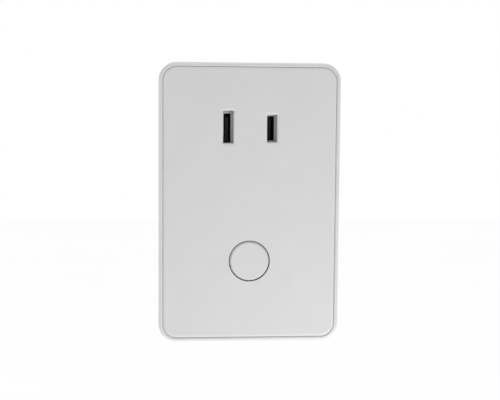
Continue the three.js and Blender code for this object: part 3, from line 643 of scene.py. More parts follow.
HOUSING_COLOUR = (0.60, 0.60, 0.60)
ALONG_X, ALONG_Y, ALONG_Z, ROUND_Y, EVEN = (8, 1, 1), (1, 8, 1), (1, 1, 8), (8, 1, 8), (1, 1, 1)
LOOKS = {
    moulded_plastic: {
        "housing_plastic": (HOUSING_COLOUR, 0.40),
        "cover_plastic": (HOUSING_COLOUR, 0.44),
        "button_plastic": (HOUSING_COLOUR, 0.42),
        "dark_moulding": ((0.022, 0.024, 0.027), 0.45, 0.3, 0.01),
        "carrier_plastic": ((0.40, 0.40, 0.395), 0.5, 0.3, 0.008),
        # The carrier's plastic is a mid-grey, darker than the housing, so the shoulders seen deep inside
        # the slots come out dark.
        "black_moulding": ((0.008, 0.008, 0.009), 0.42, 0.2, 0.006),
        "chip_resin": ((0.012, 0.012, 0.013), 0.55, 0.09, 0.006),
        "relay_blue": ((0.014, 0.075, 0.33), 0.34, 0.25, 0.003),
        "capacitor_box": ((0.60, 0.45, 0.04), 0.38, 0.3, 0.004),
    },
    drawn_metal: {
        "blade_metal": ((0.70, 0.67, 0.61), 0.22, ALONG_Y),
        "spring_bronze": ((0.27, 0.26, 0.24), 0.32, ALONG_Y),
        "copper_strap": ((0.66, 0.33, 0.18), 0.28, ALONG_Z),
        "contact_alloy": ((0.74, 0.58, 0.34), 0.24, ALONG_Z),
        "tinned_steel": ((0.58, 0.59, 0.60), 0.32, EVEN, 0.5, 0.0012),
        "spring_steel": ((0.62, 0.63, 0.64), 0.18, EVEN, 0.4),
        "screw_steel": ((0.50, 0.51, 0.52), 0.28, EVEN, 0.3),
        "soft_iron": ((0.36, 0.365, 0.375), 0.36, ALONG_Z, 0.2),
        "shunt_alloy": ((0.46, 0.40, 0.33), 0.36, ALONG_X, 0.15),
        "copper_wire": ((0.50, 0.17, 0.06), 0.22, ROUND_Y, 0.25),
    },
    laminate: {
        "circuit_board": ((0.008, 0.070, 0.020), (0.010, 0.092, 0.026)),
        "radio_laminate": ((0.004, 0.014, 0.045), (0.006, 0.021, 0.062)),
    },
    coated: {
        "insulating_film": ((0.74, 0.66, 0.42), 0.3, 4.0, 0.01, {"transmission_weight": 0.25}),
        "light_guide_plastic": ((0.86, 0.88, 0.86), 0.34, 2.5, 0.004, {"transmission_weight": 0.25}),
        "led_resin": ((0.85, 0.78, 0.42), 0.15, 0.5, 0.002, {"transmission_weight": 0.3}),
        "varistor_coating": ((0.012, 0.06, 0.27), 0.22, 1.2, 0.05),
        "capacitor_sleeve": ((0.010, 0.018, 0.060), 0.24, 2.0, 0.008),
        "winding_tape": ((0.72, 0.48, 0.03), 0.2, 1.0, 0.02, {"coat_weight": 0.3}),
    },
    sintered: {
        "ferrite": ((0.030, 0.030, 0.032), 0.55),
        "fuse_ceramic": ((0.40, 0.25, 0.12), 0.45, 0.12, 0.004),
    },
}
MATERIALS = {
    name: make(name, *values) for make, rows in LOOKS.items() for name, values in rows.items()
}

# ---- Housing ---------------------------------------------------------

REAR_EDGE = 1.0
FRONT_EDGE = 0.95
MOUTH_EDGE = (0.5, 0.4)
INNER_EDGE = 0.6
POST_RADIUS = 3.5
POST_TOP = -12.0
POST_ROOT = -1.2
PILLAR_RADIUS = 2.6
WEB_SHIFT, WEB_HALF_WIDTH, WEB_HALF_HEIGHT = 3.0, 0.7, 2.6
COUNTERBORE_RADIUS = 2.75
COUNTERBORE_DEPTH = 3.0
SHANK_HOLE = 1.6
BOARD_PILOT = 1.15
BLADE_GAP = 0.2
POWER_BOARD_REAR = cad("power_board")[1].y
PILLARS = [(sx * 19.5, z) for sx in (-1, 1) for z in (-10.2, -50.2)]


def body_outline(wall=0.0):
    """The housing's outline drawn in by the thickness of a wall."""
    size = BODY_WIDTH - 2 * wall, BODY_HEIGHT - 2 * wall
    return rounded_rectangle(*size, BODY_CORNER - wall, BODY_CENTRE)


def blade_half(side):
    """Half the width of the part of a blade that enters the wall outlet."""
    return cad(f"{side}_blade")[1].z - SHOULDER


def rear_housing():
    """The tub: side walls, rear wall, front rim, screw posts and board pillars."""
    shell = block(body_outline(), RIM_FACE, body_high.y, FRONT_EDGE, REAR_EDGE, steps=8)
    cut(shell, block(body_outline(SIDE_WALL), COVER_BACK - 1, -REAR_WALL, 0, INNER_EDGE))
    width, depth = MOUTH_EDGE
    recess = COVER_BACK - RIM_FACE
    cut(shell, mouth(body_outline(RIM_WIDTH), RIM_FACE, recess, width, edge_depth=depth))
    posts = [disc(POST_RADIUS, at, POST_TOP, POST_ROOT, 0.25, steps=40) for at in SCREW_PLACES]
    pillars = [disc(PILLAR_RADIUS, at, POWER_BOARD_REAR, POST_ROOT, 0.2, steps=32) for at in PILLARS]
    join(shell, *posts, *pillars)
    webs = []
    for x, z in SCREW_PLACES:
        web = x + math.copysign(WEB_SHIFT, x)
        across = web - WEB_HALF_WIDTH, web + WEB_HALF_WIDTH
        up = z - WEB_HALF_HEIGHT, z + WEB_HALF_HEIGHT
        webs.append(box(across, (POST_TOP + 0.4, POST_ROOT), up))
    join(shell, *webs)
    bores = [
        mouth(circle(COUNTERBORE_RADIUS, at, 48), 0, COUNTERBORE_DEPTH, 0.25, -1)
        for at in SCREW_PLACES
    ]
    pilot_end = -REAR_WALL - 0.6
    bores += [disc(BOARD_PILOT, at, POWER_BOARD_REAR - 1, pilot_end, steps=24) for at in PILLARS]
    for side, facts in SIDES.items():
        size = BLADE_THICKNESS + 2 * BLADE_GAP, 2 * (blade_half(side) + BLADE_GAP)
        passage = rounded_rectangle(*size, 0.25, (facts["x"], 0))
        bores.append(mouth(passage, 0, REAR_WALL + 1, 0.2, -1))
    cut(shell, *bores)
    shank_end = -COUNTERBORE_DEPTH + 0.5
    cut(shell, *[disc(SHANK_HOLE, at, POST_TOP - 1, shank_end, steps=32) for at in SCREW_PLACES])
    finish_piece("rear_housing", shell)


COVER_EDGE = (0.85, 0.6)
HOLE_EDGE = 0.08
LIP_DEPTH = 2.0
LIP_WALL = 1.0
LIP_EASE = 0.3
BOSS_RADIUS = 2.9
STANDOFF_RADIUS = 2.4
FLANGE_RADIUS = 6.5
COLLAR_WALL, COLLAR_EASE, COLLAR_HEIGHT = 1.2, 0.35, 2.6
HOUSING_PILOT = 1.35
BOSS_BORE_END = -24
STANDOFF_BORE_END = -26
CONTROL_FRONT = cad("control_board")[0].y
CONTROL_SCREWS = [centre_of(f"control_screw_{i}") for i in (1, 2)]


def front_cover():
    """The inset plate with its two slots, the button's opening, and what holds it at the back."""
    reveal = RIM_WIDTH + GROOVE
    outline = body_outline(reveal)
    width, depth = COVER_EDGE
    edge = round_end(width, COVER_FACE, 1, 9, depth)
    plate = stack(outline, edge + round_end(0.15, COVER_BACK, -1, 2)[::-1])
    root, lip_end = COVER_BACK - 0.5, COVER_BACK + LIP_DEPTH
    outer = SIDE_WALL - reveal + LIP_EASE
    inner = outer + LIP_WALL
    lip = stack(outline, [(outer, root), (outer, lip_end)])
    cut(lip, stack(outline, [(inner, COVER_BACK - 2), (inner, lip_end + 1)]))
    supports = [disc(BOSS_RADIUS, at, root, POST_TOP, 0, 0.2, steps=36) for at in SCREW_PLACES]
    supports += [
        disc(STANDOFF_RADIUS, at, root, CONTROL_FRONT, 0, 0.2, steps=32) for at in CONTROL_SCREWS
    ]
    collar_end = COVER_BACK + COLLAR_HEIGHT
    supports.append(disc(FLANGE_RADIUS + COLLAR_WALL, BUTTON_CENTRE, root, collar_end, 0, 0.2))
    join(plate, lip)
    join(plate, *supports)
    through = COVER_THICKNESS + 0.5
    holes = [
        disc(FLANGE_RADIUS + COLLAR_EASE, BUTTON_CENTRE, COVER_BACK, COVER_BACK + 4),
        mouth(circle(BUTTON_HOLE, BUTTON_CENTRE, 96), COVER_FACE, through, HOLE_EDGE),
    ]
    holes += [disc(HOUSING_PILOT, at, BOSS_BORE_END, POST_TOP + 1, steps=24) for at in SCREW_PLACES]
    holes += [
        disc(BOARD_PILOT, at, STANDOFF_BORE_END, CONTROL_FRONT + 1, steps=24)
        for at in CONTROL_SCREWS
    ]
    for facts in SIDES.values():
        opening = rounded_rectangle(*facts["mouth"], 0.2, (facts["x"], facts["mouth_at"]))
        width, depth = facts["lead"]
        deep, steps = COVER_THICKNESS + 1, facts["lead_steps"]
        holes.append(mouth(opening, COVER_FACE, deep, width, steps=steps, edge_depth=depth))
    for hole in holes:
        cut(plate, hole)
    finish_piece("front_cover", plate)


CAP_BEVEL = 0.5
CAP_EDGE = 0.12
FLANGE_FRONT = COVER_BACK + 0.15
FLANGE_REAR = COVER_BACK + 0.95
STEM_RADIUS = 1.5


def button_cap():
    """The round button with its flange and the stem that presses the switch."""
    stem_end = cad("button_cap")[1].y
    face = [
        (0, COVER_FACE),
        (BUTTON_RADIUS - CAP_BEVEL, COVER_FACE),
        (BUTTON_RADIUS, COVER_FACE + CAP_BEVEL),
        (BUTTON_RADIUS, FLANGE_FRONT),
    ]
    rear = [
        (FLANGE_RADIUS, FLANGE_FRONT),
        (FLANGE_RADIUS, FLANGE_REAR),
        (STEM_RADIUS, FLANGE_REAR),
        (STEM_RADIUS, stem_end),
        (0, stem_end),
    ]
    rounded = round_corners(face, CAP_EDGE, closed=False, steps=4)
    finish_piece("button_cap", turned(rounded + rear, BUTTON_CENTRE, 96))


# ---- Screws ----------------------------------------------------------

THREAD_PITCH = 0.9
THREAD_ROOT = 0.74
THREAD_SHARPNESS = 1.6
THREAD_STEPS = 24
RINGS_PER_TURN = 6
# A head's profile, in shares of its radius and its height.
HEAD_SHAPE = [(0, 0), (0.55, 0.03), (0.88, 0.2), (1, 0.55), (1, 1), (0, 1)]
RECESS_REACH, RECESS_ARM, RECESS_DEPTH = 0.62, 0.24, 0.6


def threaded(centre, low, high, radius):
    """A screw's shank along Y, with a helical thread that fades to its root at both ends."""
    rings = round((high - low) / THREAD_PITCH * RINGS_PER_TURN)
    steps = THREAD_STEPS
    points, faces = [], []
    for ring in range(rings + 1):
        w = low + (high - low) * ring / rings
        fade = min(1.0, min(ring, rings - ring) / RINGS_PER_TURN)
        for step in range(steps):
            turn = step / steps
            crest = abs(((w / THREAD_PITCH - turn) % 1) * 2 - 1) ** THREAD_SHARPNESS * fade
            r = radius * (THREAD_ROOT + (1 - THREAD_ROOT) * crest)
            u, v = r * math.cos(2 * math.pi * turn), r * math.sin(2 * math.pi * turn)
            points.append(PLACE["y"](centre[0] + u, centre[1] + v, w))
    for ring in range(rings):
        here, there = ring * steps, (ring + 1) * steps
        for step in range(steps):
            following = (step + 1) % steps
            faces.append([here + step, here + following, there + following, there + step])
    faces += [list(range(steps)), list(range(rings * steps, (rings + 1) * steps))]
    return mesh_object("threaded", points, faces)


def screw(node, head_height, shank, sign):
    """A pan-head screw with a cross recess. Its shank points along Y to the sign."""
    low, high = cad(node)
    centre = centre_of(node)
    radius = (high.x - low.x) / 2
    top, end = (low.y, high.y) if sign > 0 else (high.y, low.y)
    seat = top + sign * head_height
    head = lathe([(radius * r, top + sign * head_height * h) for r, h in HEAD_SHAPE], 0.25, centre)
    depth, arm, length = RECESS_DEPTH * head_height, RECESS_ARM * radius, 2 * RECESS_REACH * radius
    for size in ((length, arm), (arm, length)):
        slot = rounded_rectangle(*size, arm / 3, centre)
        cut(head, stack(slot, [(0.0, top - sign * 0.3), (0.0, top), (arm / 4, top + sign * depth)]))
    overlap = seat - sign * 0.3
    join(head, threaded(centre, min(overlap, end), max(overlap, end), shank))
    finish_piece(node, head)


def screws():
    """The housing's screws from the rear, and two screws for each board."""
    for i in range(1, 5):
        screw(f"housing_screw_{i}", 1.6, 1.15, -1)
    for i in (1, 2):
        screw(f"board_screw_{i}", 1.3, 0.95, 1)
        screw(f"control_screw_{i}", 1.2, 0.95, -1)


# ---- Blades, contacts and their insulators ---------------------------

BLADE_EDGE = 0.32
BLADE_CORNER = 0.6
BLADE_HOLE_RADIUS = 1.6
BLADE_HOLE_BEVEL = 0.22
BLADE_HOLE_AT = 11.7
TAIL_HALF = 2.0
SHOULDER_REAR, SHOULDER_FRONT = -5.3, -6.9
TIP_TAPER = 1.6


def blade(side):
    """A flat blade with a tapered tip, a countersunk hole, shoulders behind the holder and a tail."""
    node = f"{side}_blade"
    low, high = cad(node)
    half, tip = blade_half(side), high.y
    upper = [
        (low.y, TAIL_HALF),
        (SHOULDER_FRONT, TAIL_HALF),
        (SHOULDER_FRONT, half + SHOULDER),
        (SHOULDER_REAR, half + SHOULDER),
        (SHOULDER_REAR, half),
        (tip - TIP_TAPER, half),
        (tip, half - TIP_TAPER),
    ]
    outline = polygon(round_corners(upper + [(y, -z) for y, z in reversed(upper)], BLADE_CORNER))
    body = block(outline, low.x, high.x, BLADE_EDGE, BLADE_EDGE, axis="x", steps=4)
    r, bevel = BLADE_HOLE_RADIUS, BLADE_HOLE_BEVEL
    half_drill = [(0, -bevel), (r + 2 * bevel, -bevel), (r, bevel)]
    drill = [(u, low.x + w) for u, w in half_drill] + [(u, high.x - w) for u, w in half_drill[::-1]]
    cut(body, turned(drill, (BLADE_HOLE_AT, 0), 48, axis="x"))
    finish_piece(node, body)


HOLDER_FRONT = -5.2
HOLDER_EDGE = 0.35
RIB_HALF_WIDTH = 2.0
HOLDER_GAP = 0.1


def blade_holder():
    """The black block that both blades pass through, with a rib that rests on the power board."""
    low, high = cad("blade_holder")
    outline = outline_of("blade_holder", 1.5)
    body = block(outline, HOLDER_FRONT, high.y, HOLDER_EDGE, HOLDER_EDGE)
    up = low.z + 1, high.z - 1
    join(body, box((-RIB_HALF_WIDTH, RIB_HALF_WIDTH), (low.y, HOLDER_FRONT + 0.5), up, 0.3))
    for side, facts in SIDES.items():
        size = BLADE_THICKNESS + 2 * HOLDER_GAP, 2 * (blade_half(side) + HOLDER_GAP)
        passage = rounded_rectangle(*size, 0.3, (facts["x"], 0))
        cut(body, mouth(passage, HOLDER_FRONT, high.y - HOLDER_FRONT + 1, 0.3))
    finish_piece("blade_holder", body)


CONTACT_SHEET = 0.5
CONTACT_EDGE = 0.12
CONTACT_LEAF = [(2.1, -11.4), (2.1, -15.0), (0.62, -22.2), (1.35, -25.4)]
CONTACT_TAIL_END = -12.0
CONTACT_TAIL_HALF = 1.5


def contact(side):
    """A sprung female contact: two leaves that pinch the blade, on a base with a tail to the board."""
    node = f"{side}_contact"
    high = cad(node)[1]
    x, base = middle(node).x, CONTACT_LEAF[0][1]
    line = [(x - u, y) for u, y in reversed(CONTACT_LEAF)] + [(x + u, y) for u, y in CONTACT_LEAF]
    bottom, edge = 2 * OUTLET_AT - high.z, CONTACT_EDGE
    leaves = block(strip(line, CONTACT_SHEET, 1.0), bottom, high.z, edge, edge, axis="z", steps=3)
    tail_line = [(base, 1.0), (base, CONTACT_TAIL_END), (high.y, CONTACT_TAIL_END)]
    left, right = x - CONTACT_TAIL_HALF, x + CONTACT_TAIL_HALF
    tail = block(strip(tail_line, CONTACT_SHEET, 0.9), left, right, edge, edge, axis="x", steps=3)
    join(leaves, tail)
    finish_piece(node, leaves)


CARRIER_WALL = 1.2
CARRIER_EDGE = 0.25
POCKET_WIDTH = 5.0
TAIL_OUTLET = 1.8
CARRIER_HOLLOW = 4.8


def contact_carrier():
    """The insulating block that holds both contacts behind the slots."""
    low, high = cad("contact_carrier")
    length = high.y - low.y
    body = slab("contact_carrier", 1.2, CARRIER_EDGE, CARRIER_EDGE)
    for facts in SIDES.values():
        x, slot = facts["x"], facts["slot"]
        way_in = rounded_rectangle(SLOT_WIDTH, slot, 0.2, (x + SLOT_SHIFT, OUTLET_AT))
        cut(body, mouth(way_in, low.y, CARRIER_WALL + 0.5, 0.18, steps=2))
        pocket = rounded_rectangle(POCKET_WIDTH, slot + 0.5, 0.3, (x, OUTLET_AT))
        cut(body, mouth(pocket, high.y, length - CARRIER_WALL, 0.2, -1, steps=2))
        cut(body, box((x - TAIL_OUTLET, x + TAIL_OUTLET), (-12, high.y + 1), (low.z - 1, 0)))
    hollow = rounded_rectangle(CARRIER_HOLLOW, high.z - low.z - 3, 0.5)
    cut(body, mouth(hollow, high.y, length - 4, 0.2, -1, steps=2))
    finish_piece("contact_carrier", body)


# ---- Switch and light ------------------------------------------------

SWITCH_FLOOR = 1.2
CUP_RADIUS = 2.5
COVER_HOLE = 1.8
RIVET_REACH = 2.3
DOME_SHEET = 0.15
DOME_CURVE = 2.4
DOME_STEPS = 12
PLUNGER_TIP, PLUNGER_RADIUS, PLUNGER_COLLAR = 1.55, 1.6, 2.2


def switch_parts():
    """The tactile switch: cup, cover plate, snap dome and plunger."""
    at = BUTTON_CENTRE
    low, high = cad("switch_body")
    square = rounded_rectangle(high.x - low.x, high.z - low.z, 0.6, at)
    cup = block(square, low.y, high.y, 0.12, 0.2)
    cut(cup, disc(CUP_RADIUS, at, low.y - 1, high.y - SWITCH_FLOOR, steps=48))
    finish_piece("switch_body", cup)

    low, high = cad("switch_cover")
    plate = block(square, low.y, high.y, 0.1, 0.02, steps=3)
    cut(plate, mouth(circle(COVER_HOLE, at, 48), low.y, 1.0, 0.08))
    rivet = [(0, low.y), (0.34, low.y + 0.04), (0.38, low.y + 0.2), (0, low.y + 0.2)]
    reach = (-RIVET_REACH, RIVET_REACH)
    join(plate, *[turned(rivet, (at[0] + u, at[1] + v), 20) for u in reach for v in reach])
    finish_piece("switch_cover", plate)

    low, high = cad("switch_dome")
    rise, radius = high.y - low.y - DOME_SHEET, (high.x - low.x) / 2
    shares = [i / DOME_STEPS for i in range(DOME_STEPS + 1)]
    curve = [(radius * u, high.y - rise * (1 - u**DOME_CURVE)) for u in shares]
    front = [(r, y - DOME_SHEET) for r, y in curve]
    finish_piece("switch_dome", turned(front + [(radius, high.y)] + curve[-2::-1], at, 48))

    low, high = cad("switch_plunger")
    collar = low.y + 1.2
    profile = [
        (0, low.y),
        (PLUNGER_TIP, low.y),
        (PLUNGER_RADIUS, collar),
        (PLUNGER_COLLAR, collar),
        (PLUNGER_COLLAR, high.y),
        (0, high.y),
    ]
    finish_piece("switch_plunger", lathe(profile, 0.22, at))


GUIDE_INNER = 4.5
GUIDE_REAR = -22.0
LAMP_BASE = 0.45
LENS_RADIUS = 0.38


def light_parts():
    """The clear ring round the switch, which carries the light, and the small lamp beneath it."""
    low, high = cad("light_guide")
    outer = (high.x - low.x) / 2
    ring = disc(outer, BUTTON_CENTRE, low.y, GUIDE_REAR, 0.3, 0.15, steps=96)
    cut(ring, mouth(circle(GUIDE_INNER, BUTTON_CENTRE, 96), low.y, GUIDE_REAR - low.y + 1, 0.3))
    reach, top = (GUIDE_INNER + outer) / 2, GUIDE_REAR - 0.4
    feet = []
    for third in (1, 3, 5):
        angle = third * math.pi / 3
        at = (reach * math.cos(angle), BUTTON_CENTRE[1] + reach * math.sin(angle))
        feet.append(turned([(0, top), (0.5, top), (0.48, high.y), (0, high.y)], at, 24))
    join(ring, *feet)
    finish_piece("light_guide", ring)

    low, high = cad("status_led")
    base = box((low.x, high.x), (high.y - LAMP_BASE, high.y), (low.z, high.z), 0.06)
    root, r = high.y - 0.4, LENS_RADIUS
    angles = [math.pi / 2 * i / 6 for i in range(6)]
    dome = [(r * math.cos(t), high.y - 0.42 - 0.3 * math.sin(t)) for t in angles]
    lens = turned([(0, root), (r, root), *dome, (0, low.y)], centre_of("status_led"), 24)
    join(base, lens)
    finish_piece("status_led", base, [("light_guide_plastic", lambda at, normal: at.y > root)])


# ---- Boards ----------------------------------------------------------

JOINT_RADIUS = 0.75
JOINT_HEIGHT = 0.34
JOINT_TIP = 0.12
JOINT_SHARES = (0, 0.2, 0.45, 0.7, 1)
HEADER_PINS, HEADER_PITCH = 5, 2.54
LEADED = ["fuse", "varistor", "film_capacitor", "choke", "neutral_link", "line_link", "shunt_resistor"]
LEADED += ["filter_capacitor_1", "filter_capacitor_2", "output_capacitor"]
# The legs of these parts, as places across and up from the part's middle.
LEGGED = {
    "relay_base": [(u, v) for u in (-4, 4) for v in (-6.5, 6.5)],
    "transformer_core": [(u, v) for u in (-4, 0, 4) for v in (-5, 5)],
}


def solder_joint(at, seat, sign):
    """A small cone of solder on a board's face, with a concave flank."""
    flank = [
        (JOINT_RADIUS * (1 - u) ** 1.6 + JOINT_TIP, seat + sign * (JOINT_HEIGHT * u - 0.1 * (u == 0)))
        for u in JOINT_SHARES
    ]
    return turned([(0, flank[0][1])] + flank + [(0, flank[-1][1])], at, 20)


def ends_of(node, reach=0.35):
    """Two places under a component, near the ends of its longer side."""
    low, high = cad(node)
    x, z = centre_of(node)
    size = high - low
    if size.x > size.z:
        return [(x - size.x * reach, z), (x + size.x * reach, z)]
    return [(x, z - size.z * reach), (x, z + size.z * reach)]


def header_places():
    """The middles of the pins between the two boards."""
    x, z = centre_of("board_header")
    return [(x + (i - (HEADER_PINS - 1) / 2) * HEADER_PITCH, z) for i in range(HEADER_PINS)]


NOTCH = 3.9
NOTCH_REACH = 6
BOARD_HOLE = 1.2
SCREW_HEAD_RADIUS = 2.1
TAIL_SLOT_HALF, TAIL_SLOT_EASE = 1.05, 0.3
FOOT_SLOT_HALF, FOOT_SLOT = 1.8, (-12.6, -11.4)


def power_board():
    """The mains board with its notched corners, slots for the blades and contacts, and solder joints."""
    low, high = cad("power_board")
    middle_z = middle("power_board").z
    through = low.y - 1, high.y + 1
    sheet = slab("power_board", 0.8, 0.08, 0.08, steps=2)
    for x, z in SCREW_PLACES:
        corner = (
            x + math.copysign(NOTCH_REACH, x),
            z + math.copysign(NOTCH_REACH, z - middle_z),
        )
        size = 2 * (NOTCH + NOTCH_REACH)
        cut(sheet, block(rounded_rectangle(size, size, NOTCH, corner), *through))
    holes = []
    for i in (1, 2):
        node = f"board_screw_{i}"
        at = (cad(node)[0].x + SCREW_HEAD_RADIUS, middle(node).z)
        holes.append(disc(BOARD_HOLE, at, *through, steps=32))
    tail = TAIL_HALF + TAIL_SLOT_EASE
    for facts in SIDES.values():
        x = facts["x"]
        holes.append(box((x - TAIL_SLOT_HALF, x + TAIL_SLOT_HALF), through, (-tail, tail)))
        holes.append(box((x - FOOT_SLOT_HALF, x + FOOT_SLOT_HALF), through, FOOT_SLOT))
    for hole in holes:
        cut(sheet, hole)
    places = [at for node in LEADED for at in ends_of(node)] + header_places()
    for node, legs in LEGGED.items():
        x, z = centre_of(node)
        places += [(x + u, z + v) for u, v in legs]
    join(sheet, *[solder_joint(at, high.y, 1) for at in places])
    finish_piece("power_board", sheet, [("tinned_steel", lambda at, normal: at.y > high.y + 0.01)])


def control_board():
    """The low-voltage board behind the button, with round corners and the socket's solder joints."""
    low, high = cad("control_board")
    sheet = slab("control_board", 1.0, 0.06, 0.06, steps=2)
    for at in CONTROL_SCREWS:
        cut(sheet, disc(BOARD_HOLE, at, low.y - 1, high.y + 1, steps=32))
    join(sheet, *[solder_joint(at, low.y, -1) for at in header_places()])
    finish_piece("control_board", sheet, [("tinned_steel", lambda at, normal: at.y < low.y - 0.01)])


SHEET_NARROW, SHEET_STEP = 15.5, -46.8


def insulating_sheet():
    """A thin film behind the power board, narrower below where it passes between the posts."""
    low, high = cad("insulating_sheet")
    right = [
        (SHEET_NARROW, low.z),
        (SHEET_NARROW, SHEET_STEP),
        (high.x, SHEET_STEP),
        (high.x, high.z),
    ]
    outline = polygon(round_corners(right + [(-x, z) for x, z in reversed(right)], 1.2))
    finish_piece("insulating_sheet", block(outline, low.y, high.y, 0.05, 0.05, steps=2))


HEADER_MOULDING = (-11.5, -9.0)
PIN_WIDTH, PIN_END = 0.64, -11.0
WAY_IN = 1.24
GROOVE_HALF, GROOVE_DEPTH = 0.12, 0.25


def grooved(node, span):
    """A connector's moulding, with grooves between its pins on both long sides."""
    low, high = cad(node)
    body = box((low.x, high.x), span, (low.z, high.z), 0.15)
    for x, z in header_places()[:-1]:
        groove = x + HEADER_PITCH / 2
        across, along = (groove - GROOVE_HALF, groove + GROOVE_HALF), (span[0] - 1, span[1] + 1)
        for face in (low.z, high.z):
            cut(body, box(across, along, (face - GROOVE_DEPTH, face + GROOVE_DEPTH)))
    return body


def board_link():
    """The pin header on the power board and the socket on the control board that it plugs into."""
    low, high = cad("board_header")
    header = grooved("board_header", HEADER_MOULDING)
    for at in header_places():
        outline = rounded_rectangle(PIN_WIDTH, PIN_WIDTH, 0.06, at)
        join(header, stack(outline, [(0.22, low.y), (0.0, low.y + 0.5), (0.0, PIN_END)]))
    bare = HEADER_MOULDING[0] - 0.05
    finish_piece("board_header", header, [("contact_alloy", lambda at, normal: at.y < bare)])

    low, high = cad("board_socket")
    socket = grooved("board_socket", (low.y, high.y))
    for at in header_places():
        way_in = rounded_rectangle(WAY_IN, WAY_IN, 0.05, at)
        cut(socket, mouth(way_in, high.y, 5.0, 0.2, -1, steps=1))
    finish_piece("board_socket", socket)


CASTELLATIONS, CASTELLATION_PITCH, CASTELLATION_RADIUS = 7, 1.5, 0.35
CAN_EDGE, CAN_INNER_EDGE, CAN_WALL = 0.35, 0.5, 0.3
CAN_HOLE = 0.3
CAN_HOLES = [(u * 2.2, v * 1.8) for u in (-2, -1, 0, 1, 2) for v in (-1, 0, 1)]


def radio():
    """The radio board with its chip under a folded can."""
    low, high = cad("radio_board")
    z = middle("radio_board").z
    board = slab("radio_board", 0.4, 0.05, 0.05, steps=2)
    for i in range(CASTELLATIONS):
        up = z + (i - (CASTELLATIONS - 1) / 2) * CASTELLATION_PITCH
        for x in (low.x, high.x):
            cut(board, disc(CASTELLATION_RADIUS, (x, up), low.y - 1, high.y + 1, steps=16))
    finish_piece("radio_board", board)

    low, high = cad("radio_shield")
    x, z = centre_of("radio_shield")
    outline = outline_of("radio_shield", 0.8)
    can = stack(outline, round_end(CAN_EDGE, low.y, 1, 5) + [(0.0, high.y)])
    inside = [
        (CAN_INNER_EDGE, low.y + CAN_WALL),
        (CAN_WALL, low.y + CAN_INNER_EDGE),
        (CAN_WALL, high.y + 1),
    ]
    cut(can, stack(outline, inside))
    for u, v in CAN_HOLES:
        cut(can, disc(CAN_HOLE, (x + u, z + v), low.y - 1, low.y + 1, steps=16))
    finish_piece("radio_shield", can)
    finish_piece("radio_chip", box_of("radio_chip", 0.1))


LEG_REACH = 1.04
LEG_SHEET = 0.18
CHIP_LEGS = {"bridge_rectifier": 2, "metering_chip": 8, "controller_chip": 4}


def chip(node, legs):
    """A surface-mounted chip: a drafted body with a mark by leg one, and gull-wing legs on both sides."""
    low, high = cad(node)
    x, z = centre_of(node)
    reach = (high.z - low.z) / 2
    half_width, length = reach - LEG_REACH, high.x - low.x
    seat, shoulder = high.y, (low.y + high.y) / 2
    outline = rounded_rectangle(length, 2 * half_width, 0.12, (x, z))
    levels = [(0.22, low.y), (0.0, shoulder - 0.1), (0.0, shoulder + 0.1), (0.16, seat - 0.15)]
    body = stack(outline, levels)
    dimple = [(0, low.y - 1), (0.35, low.y - 1), (0.35, low.y + 0.05), (0, low.y + 0.12)]
    cut(body, turned(dimple, (low.x + 0.8, z - half_width + 0.8), 24))
    pitch = length / legs
    made = []
    for i in range(legs):
        at = low.x + (i + 0.5) * pitch
        left, right = at - 0.18 * pitch, at + 0.18 * pitch
        for side in (-1, 1):
            line = [
                (shoulder, z + side * (half_width - 0.3)),
                (shoulder, z + side * (half_width + 0.35)),
                (seat - 0.1, z + side * (half_width + 0.5)),
                (seat - 0.1, z + side * reach),
            ]
            made.append(block(strip(line, LEG_SHEET, 0.15), left, right, axis="x"))
    join(body, *made)
    beyond = half_width + 0.01
    finish_piece(node, body, [("tinned_steel", lambda at, normal: abs(at.z - z) > beyond)])


# ---- Power supply and metering ---------------------------------------

CAN_GROOVE_AT, CAN_GROOVE_HALF, CAN_GROOVE_DEPTH = 1.6, 0.6, 0.42
SLEEVE_FOLD = 0.9
VENT_LENGTH, VENT_WIDTH, VENT_DEPTH = 1.3, 0.16, 0.18


def electrolytic(node):
    """A can in its sleeve: rolled groove near the foot, sleeve folded over the top, scored vent."""
    low, high = cad(node)
    x, z = centre = centre_of(node)
    r, top, foot = (high.x - low.x) / 2, low.y, high.y
    groove = foot - CAN_GROOVE_AT
    profile = [
        (0, top + 0.1),
        (r - SLEEVE_FOLD - 0.05, top + 0.1),
        (r - SLEEVE_FOLD, top),
        (r - 0.3, top),
        (r, top + 0.35),
        (r, groove - CAN_GROOVE_HALF),
        (r - CAN_GROOVE_DEPTH, groove),
        (r, groove + CAN_GROOVE_HALF),
        (r, foot - 0.25),
        (r - 0.35, foot),
        (0, foot),
    ]
    can = lathe(profile, 0.3, centre, 64)
    for size in ((VENT_LENGTH * r, VENT_WIDTH), (VENT_WIDTH, VENT_LENGTH * r)):
        cut(can, block(rounded_rectangle(*size, 0.05, centre), top - 1, top + VENT_DEPTH))
    disc_radius = r - SLEEVE_FOLD - 0.03

    def bare(at, normal):
        return at.y < top + 0.3 and math.hypot(at.x - x, at.z - z) < disc_radius

    finish_piece(node, can, [("tinned_steel", bare)])


FUSE_CAP, FUSE_STEP = 2.2, 0.18
LEAD_HALF_WIDTH, LEAD_HALF_THICKNESS = 0.4, 0.3


def leads(x, places, root, end):
    """Flat leads side by side along Z, from inside a component down to the board."""
    across = x - LEAD_HALF_WIDTH, x + LEAD_HALF_WIDTH
    thin = LEAD_HALF_THICKNESS
    return [box(across, (root, end), (z - thin, z + thin), 0.1) for z in places]


